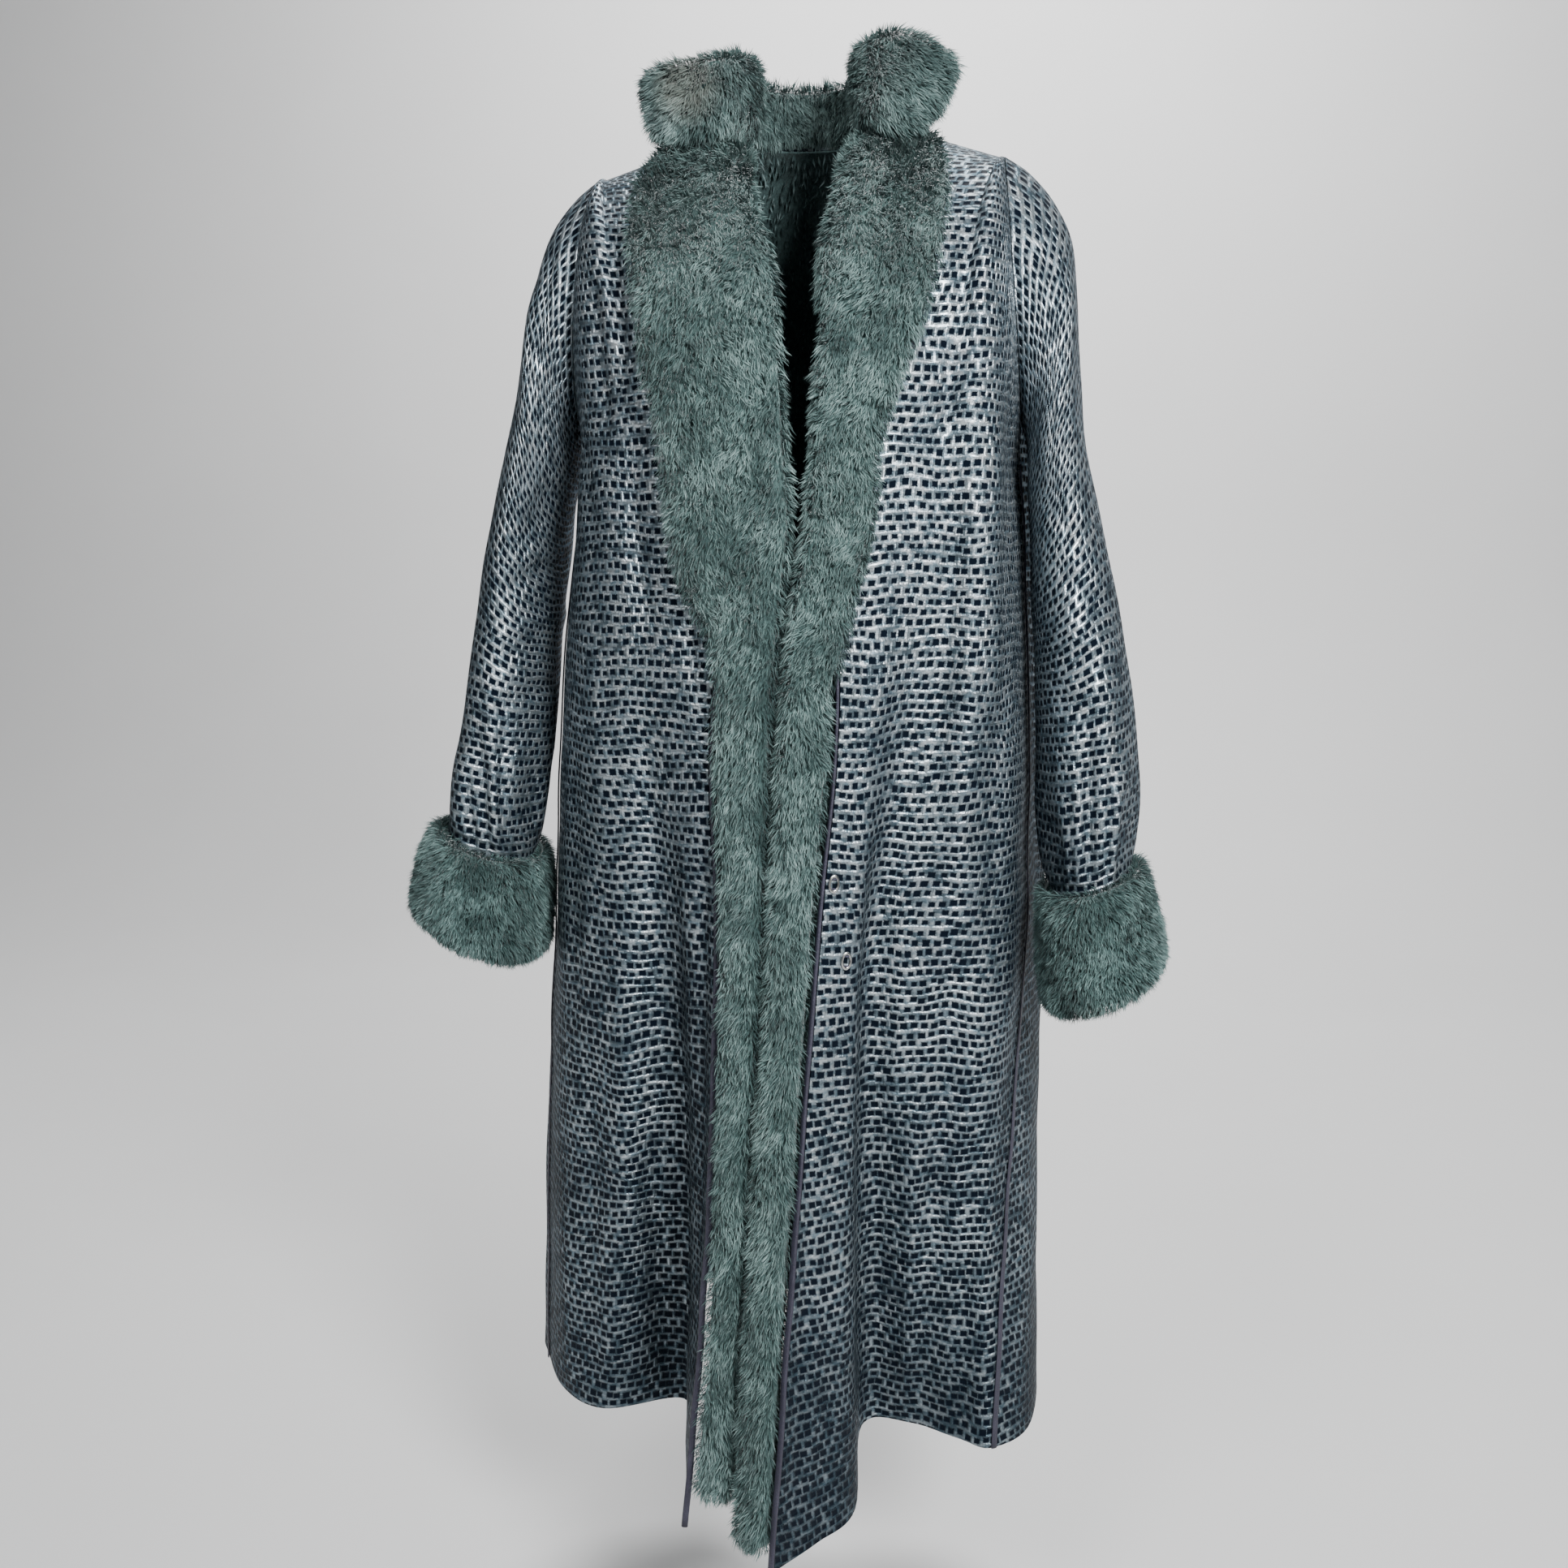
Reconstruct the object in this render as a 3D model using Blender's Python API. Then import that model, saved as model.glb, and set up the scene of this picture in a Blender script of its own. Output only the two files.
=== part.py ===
"""Long overcoat with a fur collar, fur fronts and fur cuffs, worn shape, empty.

Metres, +Z up.  +X is the wearer's left, the front faces -Y, and the origin is
the middle of the neck, where the coat hangs from the wearer's shoulders.
The body is one surface.  Fold lines run down it from the neck, the shoulder
and the armhole to the hem, and the tables give each line's place at five
heights.  The panels are cut from that surface and lie a stitch apart.
"""
from collections import namedtuple
from math import cos, pi, sin

import bmesh
import bpy
import numpy as np

MM = 0.001

# ---- driving sizes, in metres
SEAM_GAP = 0.0003
CLOTH = 0.003
LINING_FUR = 0.006
LINING_GAP = 0.00075
LINING_HEM_SHARE = 0.7
SLEEVE_GAP = 0.0007
HEM_HEIGHT = -1.205
BINDING_GAP = 0.0009
BINDING_WIDTH = 0.0047
BINDING_THICKNESS = 0.006
WELT_GAP = 0.001
WELT_HALF_WIDTH = 0.003
WELT_THICKNESS = 0.0016

# ---- mesh fineness
SHOULDER_ROWS = 6
SKIRT_ROWS = 13
SKIRT_SPREAD = 1.3
SLEEVE_SEGMENTS = 24
FUR_SEGMENTS = 14
CUFF_PROFILE = 12
WELT_FIRST_ROW = 5
BINDING_FIRST_ROW = 10

# ---- heights of the body's sections below the neck
BUST, RIB, HIP, KNEE = -0.260, -0.460, -0.700, -0.950

# One row for each fold line, from the front edge round to the centre back:
# x, y in mm at each height, the hem's rise in mm and the columns up to the next line.
Line = namedtuple("Line", "name bust rib hip knee hem rise columns")
LEFT_LINES = (
    Line("edge", (30, -140), (53, -163), (39, -184), (24, -207), (7, -236), -38, 2),
    Line("roll", (54, -143), (67, -160), (56, -174), (46, -187), (40, -196), -35, 2),
    Line("ridge", (84, -142), (84, -153), (71, -161), (67, -162), (71, -152), -29, 2),
    Line("valley", (134, -124), (116, -128), (79, -118), (70, -97), (69, -62), -2, 3),
    Line("panel", (160, -118), (165, -122), (150, -110), (130, -88), (118, -54), 0, 2),
    Line("front_side", (184, -82), (196, -82), (198, -80), (180, -80), (165, -76), 0, 2),
    Line("seam", (197, 0), (209, -4), (214, -18), (203, -50), (196, -82), -1, 2),
    Line("side", (195, 48), (213, 45), (224, 38), (228, 5), (233, -35), 0, 2),
    Line("back_side", (208, 87), (223, 94), (231, 98), (229, 97), (235, 92), 0, 3),
    Line("blade", (140, 118), (150, 122), (160, 138), (170, 158), (182, 168), 0, 2),
    Line("back_fold", (76, 132), (80, 135), (85, 160), (90, 186), (95, 214), 0, 2),
)
RIGHT_LINES = (
    Line("edge", (0, -142), (-55, -156), (-56, -164), (-62, -179), (-83, -191), -32, 2),
    Line("roll", (-44, -145), (-72, -156), (-68, -156), (-73, -152), (-91, -144), -27, 2),
    Line("ridge", (-94, -142), (-90, -150), (-84, -144), (-87, -120), (-102, -92), -16, 2),
    Line("valley", (-128, -130), (-118, -140), (-104, -122), (-103, -82), (-114, -40), -3, 3),
    Line("panel", (-158, -116), (-158, -125), (-156, -118), (-166, -98), (-188, -72), 0, 2),
    Line("front_side", (-186, -82), (-200, -85), (-212, -80), (-224, -64), (-238, -42), 0, 2),
    Line("seam", (-201, 0), (-229, 0), (-243, -2), (-260, 8), (-270, 14), 0, 2),
    Line("side", (-197, 48), (-232, 45), (-252, 48), (-274, 58), (-286, 62), 0, 2),
    Line("back_side", (-178, 93), (-205, 95), (-226, 104), (-245, 120), (-262, 132), 0, 3),
    Line("blade", (-140, 118), (-152, 122), (-166, 142), (-180, 165), (-196, 180), 0, 2),
    Line("back_fold", (-76, 132), (-80, 135), (-86, 162), (-92, 189), (-98, 212), 0, 2),
)
CENTRE_LINE = Line("centre", (2, 126), (2, 124), (2, 146), (2, 162), (0, 176), 0, 2)

# Heights over which the cloth turns from the top of each line to its hang, in mm, the
# angle below level at which it leaves, the power by which it moves sideways (less than
# one is sooner), and the armhole's angle there, in degrees from its top to the front.
Start = namedtuple("Start", "name turn slope lead armhole")
STARTS = (
    Start("edge", 140, 25, 1, None), Start("roll", 175, 25, 1, None),
    Start("ridge", 175, 25, 1, None), Start("valley", 165, 8, 0.6, 0),
    Start("panel", 130, 0, 0.6, 42), Start("front_side", 80, 0, 1, 95),
    Start("seam", 45, 0, 1, 180), Start("side", 45, 0, 1, 210),
    Start("back_side", 80, 0, 1, 268), Start("blade", 165, 8, 0.6, 360),
    Start("back_fold", 175, 20, 1, None), Start("centre", 150, 20, 1, None),
)

# Neck and shoulder of each side, in mm.  The armhole is an ellipse that leans a little.
Shoulder = namedtuple("Shoulder", "front_neck side_neck armhole_top armhole_foot half_depth")
LEFT_SHOULDER = Shoulder((62, -34, -20), (76, 3, 12), (178, 3, -19), (199, 8, -250), 76)
RIGHT_SHOULDER = Shoulder((-52, -34, -22), (-74, 3, 8), (-182, 3, -27), (-205, 8, -252), 76)
BACK_NECK = (2, 58, 8)

# Sleeve rings from the armhole to the wrist: the outer and the inner point (x, z),
# the ring's middle and half depth in y, and the depth of the gathers, in mm.
Ring = namedtuple("Ring", "outer inner middle depth gather")
LEFT_SLEEVE = (
    Ring((200, -33), (202, -258), 4, 79, 0),
    Ring((222, -57), (204, -268), 3, 81, 0),
    Ring((238, -92), (205.5, -284), 2, 82, 0),
    Ring((245, -142), (206, -308), 0, 82, 0),
    Ring((249, -205), (208, -340), -1, 80, 0),
    Ring((257, -268), (210, -374), -3, 79, 0),
    Ring((272, -335), (212.5, -412), -6, 78, 0),
    Ring((288, -400), (215, -452), -10, 78, 0),
    Ring((300, -462), (217.5, -497), -16, 78, 1),
    Ring((308, -525), (220, -545), -24, 77, 2),
    Ring((311, -572), (222.5, -590), -31, 75, 5),
    Ring((310, -618), (227, -640), -37, 68, 4),
    Ring((307.2, -648), (236.7, -668), -40.5, 60.3, 0),
    Ring((311.9, -676), (240.8, -696), -42.4, 60.3, 0),
)
RIGHT_SLEEVE = (
    Ring((-204, -43), (-208.5, -260), 4, 79, 0),
    Ring((-222, -66), (-211, -270), 3, 81, 0),
    Ring((-237, -104), (-213, -286), 2, 82, 0),
    Ring((-248, -152), (-218, -308), 0, 82, 0),
    Ring((-259, -203), (-224, -338), -1, 80, 0),
    Ring((-273, -262), (-229, -372), -3, 79, 0),
    Ring((-289, -332), (-234, -410), -6, 78, 0),
    Ring((-301, -398), (-236, -450), -10, 78, 0),
    Ring((-312, -460), (-237, -495), -16, 78, 1),
    Ring((-322, -520), (-240, -543), -22, 77, 2),
    Ring((-331, -564), (-244, -588), -27, 75, 5),
    Ring((-335, -600), (-249, -628), -31, 68, 4),
    Ring((-337, -628), (-258.7, -652), -33.6, 60.3, 0),
    Ring((-343.4, -658), (-262.1, -682), -35.8, 60.3, 0),
)
GATHERS = 6
# Columns whose top lies farther out than this start at the armhole.
ARMHOLE_FROM = 0.1775
# How much a point's own normal counts beside each neighbour's.
OWN_NORMAL = 4

# Cuffs: bore at the upper and the lower rim as sleeve rings, and the fur's thickness there.
Cuff = namedtuple("Cuff", "upper lower upper_fur lower_fur")
LEFT_CUFF = Cuff(Ring((306.5, -640), (235, -662), -40, 61, 0),
                 Ring((323, -738), (251, -772), -47, 61, 0), 15, 24)
RIGHT_CUFF = Cuff(Ring((-336, -620), (-257.5, -648), -33, 61, 0),
                  Ring((-354, -704), (-268, -745), -40, 61, 0), 19, 26)

# Fur fronts from the neck down: height, the free inner edge (x, y), the cover over the
# cloth beyond its front edge as a share of the way to the ridge line, how far the back of
# the fur stands before the cloth, and the thickness.
Strip = namedtuple("Strip", "height inner cover proud thickness")
LEFT_FUR = (
    Strip(0, (60, -38), 0.75, 5.5, 6), Strip(-60, (54, -100), 1.15, 5, 13),
    Strip(-140, (41, -130), 1.20, 3, 19), Strip(-260, (25, -148), 1.00, 1.8, 22),
    Strip(-330, (20, -157), 0.90, 1.5, 23), Strip(-400, (11, -164), 0.50, 1.8, 24),
    Strip(-470, (6, -170), 0, 1.8, 25), Strip(-540, (1, -175), 0, -6, 26),
    Strip(-620, (-4, -176), 0, -13, 27), Strip(-700, (-7, -178), 0, -13.5, 27),
    Strip(-850, (-14, -186), 0, -14, 28), Strip(-1000, (-21, -194), 0, -14, 28),
    Strip(-1232, (-29, -205), 0, -13.5, 27),
)
RIGHT_FUR = (
    Strip(0, (-47, -38), 0.70, 6, 6), Strip(-60, (-31, -100), 1.10, 5.5, 13),
    Strip(-140, (-9, -130), 1.15, 3, 19), Strip(-260, (9, -148), 1.05, 1.8, 22),
    Strip(-330, (16, -158), 0.98, 1.5, 23), Strip(-400, (9.5, -164), 0.60, 1.8, 24),
    Strip(-470, (4, -169), 0, 1.8, 25), Strip(-540, (-1, -173), 0, -6, 26),
    Strip(-620, (-6, -175), 0, -13, 27), Strip(-700, (-9, -176), 0, -13.5, 27),
    Strip(-850, (-16, -182), 0, -14, 28), Strip(-1000, (-23, -187), 0, -14, 28),
    Strip(-1203, (-31, -192), 0, -13.5, 27),
)
FUR_ROUNDNESS = 2.8
STRIP_SEAM = 0.0068
NO_COVER = 0.05
# Stretch before and length over which a lapel turns to the cloth's own normals.
TURN_BEFORE = 0.02
TURN_OVER = 0.03
# The rounded foot of a fur front, and the stretch above it that is left straight.
FOOT_ROUND = 0.012
FOOT_STRAIGHT = 0.03
END_SHRINK = 0.6

# Collar stations from the wearer's right wing tip round the back to the left one:
# x, y of the wall's middle, its foot and its height, thickness and outward lean, in mm.
Station = namedtuple("Station", "x y foot height thickness lean")
COLLAR = (
    Station(-122, -68, 14, 29, 13, 3),
    Station(-114, -75, -10, 56, 19, 2),
    Station(-98, -84, -16, 64, 21, 2),
    Station(-76, -88, -17, 66, 22, 0),
    Station(-54, -80, -11, 66, 22, 0),
    Station(-42, -57, -8, 64, 22, 2),
    Station(-50, -24, 2, 60, 20, 4),
    Station(-60, 8, 8, 56, 20, 6),
    Station(-48, 44, 8.1, 53, 20, 8),
    Station(2, 64, 8.4, 51, 20, 9),
    Station(52, 44, 9.5, 53, 20, 8),
    Station(64, 8, 11.4, 57, 20, 6),
    Station(62, -24, 6, 62, 20, 4),
    Station(62, -54, -2.5, 64, 22, 2),
    Station(70, -80, -9, 70, 22, 0),
    Station(86, -88, -15, 80, 22, 0),
    Station(105, -84, -14, 75, 22, 2),
    Station(120, -75, 2, 52, 20, 3),
    Station(131, -68, 25, 21, 13, 4),
)
COLLAR_STEPS = 2
COLLAR_SEGMENTS = 12
COLLAR_END = 0.8

# Metal fur hooks on the left front: height down the coat and way in from its edge, in mm.
Hook = namedtuple("Hook", "name height inset")
HOOKS = (Hook("hook_upper", -632, 7), Hook("hook_lower", -706, 24))
HOOK_LENGTH = 0.013
HOOK_WIDTH = 0.008
HOOK_WIRE = 0.0011
HOOK_STATIONS = 12
HOOK_SIDES = 6
HOOK_RISE = 1.6


def spline(knots, values, at):
    """Cubic through the values, with the slopes of their neighbours."""
    knots = np.asarray(knots, float)
    values = np.asarray(values, float)
    at = np.clip(np.asarray(at, float), knots[0], knots[-1])
    slopes = np.gradient(values, knots, axis=0)
    low = np.clip(np.searchsorted(knots, at, side="right") - 1, 0, len(knots) - 2)
    step = knots[low + 1] - knots[low]
    share = (at - knots[low]) / step
    if values.ndim > 1:
        share = share[..., None]
        step = step[..., None]
    square, cube = share ** 2, share ** 3
    return ((2 * cube - 3 * square + 1) * values[low]
            + (cube - 2 * square + share) * step * slopes[low]
            + (3 * square - 2 * cube) * values[low + 1]
            + (cube - square) * step * slopes[low + 1])


def unit(vectors):
    """Vectors of length one."""
    return vectors / np.linalg.norm(vectors, axis=-1, keepdims=True)


def material(name, colour, roughness, metallic):
    """A plain finish."""
    made = bpy.data.materials.new(name)
    made.use_nodes = True
    shader = made.node_tree.nodes["Principled BSDF"]
    shader.inputs["Base Color"].default_value = (*colour, 1.0)
    shader.inputs["Roughness"].default_value = roughness
    shader.inputs["Metallic"].default_value = metallic
    return made


def add_mesh(name, points, faces, finish):
    """One closed body with its faces turned out."""
    mesh = bpy.data.meshes.new(name)
    mesh.from_pydata([tuple(point) for point in points], [], faces)
    work = bmesh.new()
    work.from_mesh(mesh)
    bmesh.ops.recalc_face_normals(work, faces=work.faces)
    work.to_mesh(mesh)
    work.free()
    mesh.shade_smooth()
    mesh.materials.append(finish)
    made = bpy.data.objects.new(name, mesh)
    bpy.context.scene.collection.objects.link(made)
    return made


def wall(name, outer, inner, finish):
    """A cloth wall between two grids of the same rows and columns."""
    rows, columns = outer.shape[:2]
    count = rows * columns
    points = np.concatenate([outer.reshape(-1, 3), inner.reshape(-1, 3)])
    faces = []
    for row in range(rows - 1):
        for column in range(columns - 1):
            corner = row * columns + column
            for base in (0, count):
                first, second = corner + base, corner + base + 1
                third, fourth = first + columns, second + columns
                faces.append((first, second, fourth))
                faces.append((first, fourth, third))
    border = list(range(columns))
    border += [row * columns + columns - 1 for row in range(1, rows)]
    border += [(rows - 1) * columns + column for column in range(columns - 2, -1, -1)]
    border += [row * columns for row in range(rows - 2, 0, -1)]
    for start, end in zip(border, border[1:] + border[:1]):
        if points[start][2] < points[end][2]:
            start, end = end, start
        faces.append((start, end, end + count))
        faces.append((start, end + count, start + count))
    return add_mesh(name, points, faces, finish)


def loft(name, rings, finish, looped=False):
    """A skin over closed rings, with flat caps, or looped back to the first ring."""
    count, segments = rings.shape[:2]
    points = list(rings.reshape(-1, 3))
    faces = []
    for ring in range(count if looped else count - 1):
        following = (ring + 1) % count
        for segment in range(segments):
            beside = (segment + 1) % segments
            first, second = ring * segments + segment, ring * segments + beside
            third, fourth = following * segments + segment, following * segments + beside
            faces.append((first, second, fourth))
            faces.append((first, fourth, third))
    if not looped:
        for ring in (0, count - 1):
            middle = len(points)
            points.append(rings[ring].mean(axis=0))
            for segment in range(segments):
                beside = (segment + 1) % segments
                faces.append((ring * segments + segment, ring * segments + beside, middle))
    return add_mesh(name, points, faces, finish)


def armhole(shoulder, degrees):
    """Points of the armhole at angles from its top towards the front."""
    top, foot = np.array(shoulder.armhole_top), np.array(shoulder.armhole_foot)
    turn = np.radians(np.asarray(degrees, float))[..., None]
    forward = np.array((0, -shoulder.half_depth, 0))
    return ((top + foot) / 2 + np.cos(turn) * (top - foot) / 2 + np.sin(turn) * forward) * MM


def top_points(shoulder, places):
    """The upper edge of the body: neck, shoulder seam, armhole, shoulder seam, back neck."""
    starts = [index for index, start in enumerate(STARTS) if start.armhole is not None]
    first, last = starts[0], starts[-1]
    angles = spline(starts, [STARTS[index].armhole for index in starts], places)
    front_neck = np.array(shoulder.front_neck) * MM
    side_neck = np.array(shoulder.side_neck) * MM
    tip = np.array(shoulder.armhole_top) * MM
    back_neck = np.array(BACK_NECK) * MM
    points = armhole(shoulder, angles)
    for index, place in enumerate(places):
        if place <= 1:
            share = sin(pi / 2 * place)
            rise = 1 - cos(pi / 2 * place)
            point = front_neck + (side_neck - front_neck) * (rise, share, share)
        elif place < first:
            point = side_neck + (tip - side_neck) * (place - 1) / (first - 1)
        elif place <= last:
            continue
        elif place <= last + 1:
            point = tip + (side_neck - tip) * (place - last)
        else:
            turn = pi / 2 * (place - last - 1)
            point = side_neck + (back_neck - side_neck) * (1 - cos(turn), sin(turn), sin(turn))
        points[index] = point
    return points


def column_places(lines):
    """Places of the columns along one side's fold lines, the centre line left out."""
    places = []
    for index, line in enumerate(lines):
        places += [index + step / line.columns for step in range(line.columns)]
    return places


def body_side(lines, shoulder):
    """Columns of one side, from the front edge to the centre back, as rows by columns."""
    rows = list(lines) + [CENTRE_LINE]
    knots = range(len(rows))
    places = np.array(column_places(lines) + [len(lines)])
    tops = top_points(shoulder, places)
    turns = spline(knots, [start.turn for start in STARTS], places) * MM
    slopes = np.radians(spline(knots, [start.slope for start in STARTS], places))
    leads = spline(knots, [start.lead for start in STARTS], places)
    hems = HEM_HEIGHT + spline(knots, [row.rise for row in rows], places) * MM
    sections = np.array([[row.hem, row.knee, row.hip, row.rib, row.bust] for row in rows]) * MM
    sections = spline(knots, sections.reshape(len(rows), -1), places).reshape(len(places), 5, 2)
    grid = np.zeros((SHOULDER_ROWS + SKIRT_ROWS + 1, len(places), 3))
    for column, top in enumerate(tops):
        slope = slopes[column]
        angles = np.linspace(slope, pi / 2, SHOULDER_ROWS + 1)
        heights = top[2] - turns[column] * (1 - np.cos(angles) / cos(slope))
        share = np.linspace(0, 1, SKIRT_ROWS + 1)[1:] ** SKIRT_SPREAD
        skirt = heights[-1] + (hems[column] - heights[-1]) * share
        heights = np.concatenate([heights, skirt])
        hang_knots = (hems[column], KNEE, HIP, RIB, BUST)
        hang = spline(hang_knots, sections[column], heights)
        run = max(top[2] - BUST, turns[column])
        share_x = np.clip((top[2] - heights) / run, 0, 1) ** leads[column]
        forward = (np.sin(angles) - sin(slope)) / (1 - sin(slope))
        share_y = np.concatenate([forward, np.ones(SKIRT_ROWS)])
        grid[:, column, 0] = top[0] + (hang[:, 0] - top[0]) * share_x
        grid[:, column, 1] = top[1] + (hang[:, 1] - top[1]) * share_y
        grid[:, column, 2] = heights
    return grid


def body_surface():
    """The whole body surface from the left front edge round the back to the right one."""
    left = body_side(LEFT_LINES, LEFT_SHOULDER)
    right = body_side(RIGHT_LINES, RIGHT_SHOULDER)
    return np.concatenate([left, right[:, -2::-1]], axis=1)


def surface_normals(grid):
    """Outward normals; those of the shoulder seams stay in the seam's upright plane."""
    down = np.gradient(grid, axis=0)
    along = np.gradient(grid, axis=1)
    normals = unit(np.cross(down, along))
    top = grid[0]
    seam_front, seam_foot = LEFT_SHOULDER.side_neck[1], RIGHT_SHOULDER.armhole_top[2]
    seam = (top[:, 1] > 0) & (top[:, 1] < (seam_front + 1) * MM) & (top[:, 2] > (seam_foot - 1) * MM)
    normals[0, seam, 1] = 0
    at_armhole = (np.abs(top[:, 0]) > ARMHOLE_FROM) & ~seam
    normals[0, at_armhole] = normals[1, at_armhole]
    normals = unit(normals)
    beside = normals[:-2, 1:-1] + normals[2:, 1:-1] + normals[1:-1, :-2] + normals[1:-1, 2:]
    normals[1:-1, 1:-1] = unit(normals[1:-1, 1:-1] * OWN_NORMAL + beside)
    return normals


def line_column(lines, name):
    """The column at which a fold line of one side runs."""
    index = [line.name for line in lines].index(name)
    return sum(line.columns for line in lines[:index])


def pull_in(panel, first, last, gap):
    """Take half a gap off a panel's side seams and its shoulder seams."""
    panel = panel.copy()
    half = gap / 2
    if first:
        panel[:, 0] += unit(panel[:, 1] - panel[:, 0]) * half
    if last:
        panel[:, -1] += unit(panel[:, -2] - panel[:, -1]) * half
    panel[0] += unit(panel[1] - panel[0]) * half
    return panel


def inward(panel, normals, depth):
    """A panel's points moved in along its normals."""
    return panel - normals * depth


def make_panels(surface, normals, cloth_finish, fur_finish):
    """Two fronts and a back, each with its fur lining a seam gap inside it."""
    seam = line_column(LEFT_LINES, "seam")
    total = surface.shape[1]
    facing = line_column(LEFT_LINES, "ridge")
    cuts = (
        ("front_left", slice(0, seam + 1), False, True, facing, 0),
        ("back", slice(seam, total - seam), True, True, 0, 0),
        ("front_right", slice(total - seam - 1, total), True, False, 0, facing),
    )
    for name, columns, first, last, skip_start, skip_end in cuts:
        panel = pull_in(surface[:, columns], first, last, SEAM_GAP)
        outward = normals[:, columns]
        wall(name, panel, inward(panel, outward, CLOTH), cloth_finish)
        lined = slice(skip_start, panel.shape[1] - skip_end)
        body = pull_in(surface[:, columns], first, last, LINING_GAP)[:, lined]
        near = inward(body, outward[:, lined], CLOTH + LINING_GAP)
        far = inward(body, outward[:, lined], CLOTH + LINING_GAP + LINING_FUR)
        for face in (near, far):
            face[-1] = face[-2] + (face[-1] - face[-2]) * LINING_HEM_SHARE
        wall("lining_" + name, near, far, fur_finish)


def ring_points(ring, segments=SLEEVE_SEGMENTS, grow=0.0):
    """A ring from its outer and inner point; gathers are waves that fade at both ends."""
    turn = np.linspace(0, 2 * pi, segments, endpoint=False)
    outer, inner = np.array(ring.outer) * MM, np.array(ring.inner) * MM
    half = (outer - inner) / 2
    length = np.linalg.norm(half)
    wave = 1 + ring.gather * MM / length * 0.5 * np.cos(GATHERS * turn)
    across = np.cos(turn) * wave * (1 + grow / length)
    deep = np.sin(turn) * wave * (1 + grow / (ring.depth * MM))
    middle = (outer + inner) / 2
    return np.stack([middle[0] + half[0] * across,
                     ring.middle * MM - ring.depth * MM * deep,
                     middle[1] + half[1] * across], axis=1)


def make_sleeve(name, rings, shoulder, finish):
    """A sleeve wall from the armhole to inside the cuff."""
    side = np.sign(shoulder.armhole_top[0])
    degrees = np.degrees(np.linspace(0, 2 * pi, SLEEVE_SEGMENTS, endpoint=False))
    first = armhole(shoulder, degrees)
    first[:, 0] += side * SLEEVE_GAP
    outer = np.array([first] + [ring_points(ring) for ring in rings])
    middles = outer.mean(axis=1, keepdims=True)
    inner = outer + unit(middles - outer) * CLOTH
    loop = np.concatenate([outer, inner[::-1]])
    return loft(name, loop, finish, looped=True)


def make_cuff(name, cuff, finish):
    """A turned-back fur cuff: a thick wall with round rims about an open bore."""
    upper, lower = ring_points(cuff.upper), ring_points(cuff.lower)
    wider_upper = ring_points(cuff.upper, grow=cuff.upper_fur * MM)
    wider_lower = ring_points(cuff.lower, grow=cuff.lower_fur * MM)
    rings = []
    for step in range(CUFF_PROFILE):
        turn = 2 * pi * (step + 0.5) / CUFF_PROFILE
        along = 0.5 - 0.5 * rounded(cos(turn))
        out = 0.5 - 0.5 * rounded(sin(turn))
        bore = upper + (lower - upper) * along
        skin = wider_upper + (wider_lower - wider_upper) * along
        rings.append(bore + (skin - bore) * out)
    return loft(name, np.array(rings), finish, looped=True)


def rounded(share):
    """A superellipse's coordinate for a circle's."""
    return np.sign(share) * np.abs(share) ** (2 / FUR_ROUNDNESS)


def row_at(grid_row, place):
    """Points between the columns of one row."""
    place = np.clip(place, 0, len(grid_row) - 1.001)
    low = place.astype(int)
    share = (place - low)[:, None]
    return grid_row[low] * (1 - share) + grid_row[low + 1] * share


def strip_sizes(strips, levels):
    """A fur front's inner edge, cover, stand and thickness at each level."""
    heights = [strip.height * MM for strip in strips][::-1]
    sizes = [(*strip.inner, strip.cover, strip.proud, strip.thickness) for strip in strips][::-1]
    table = spline(heights, sizes, levels)
    return table[:, :2] * MM, table[:, 2], table[:, 3] * MM, table[:, 4] * MM


def fur_rings(surface, normals, strips, ridge_columns):
    """Rings of a fur front, one for each row of the cloth that carries it.

    A ring runs from the free inner edge to the cloth's front edge and, where it
    turns out as a lapel, on over the cloth as far as the table says.
    """
    inner, cover, proud, thick = strip_sizes(strips, surface[:, 0, 2])
    turn = np.linspace(0, 2 * pi, FUR_SEGMENTS, endpoint=False)
    rings = []
    for row in range(len(surface)):
        edge = surface[row, 0]
        free = np.array((*inner[row], edge[2]))
        reach = np.linalg.norm(free - edge)
        covered = cover[row] * ridge_columns if cover[row] > NO_COVER else 0
        on_cloth = row_at(surface[row], np.array([covered]))[0]
        covered_length = np.linalg.norm(on_cloth - edge) if covered > 0 else -STRIP_SEAM
        total = reach + covered_length
        across = (0.5 + 0.5 * rounded(np.cos(turn))) * total
        height = 0.5 + 0.5 * rounded(np.sin(turn))
        to_free = (free - edge) / reach
        aside = np.array((-to_free[1], to_free[0], 0))
        if aside[1] > 0:
            aside = -aside
        past = across - reach
        on = past > 0
        stop = STRIP_SEAM if covered == 0 else 0
        base = edge + to_free * np.maximum(-past, stop)[:, None]
        lift = np.tile(aside, (len(turn), 1))
        if covered > 0:
            place = np.clip(past / covered_length, 0, 1) * covered
            base[on] = row_at(surface[row], place)[on]
            on_normal = row_at(normals[row], place)
            blend = np.clip((past + TURN_BEFORE) / TURN_OVER, 0, 1)[:, None]
            lift = unit(lift * (1 - blend) + on_normal * blend)
        offset = proud[row] + height * thick[row]
        rings.append(base + lift * offset[:, None])
    return np.array(rings)


def end_ring(ring, move):
    """A smaller ring past the last one, so that the fur's end is round."""
    middle = ring.mean(axis=0)
    return middle + (ring - middle) * END_SHRINK + move


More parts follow.
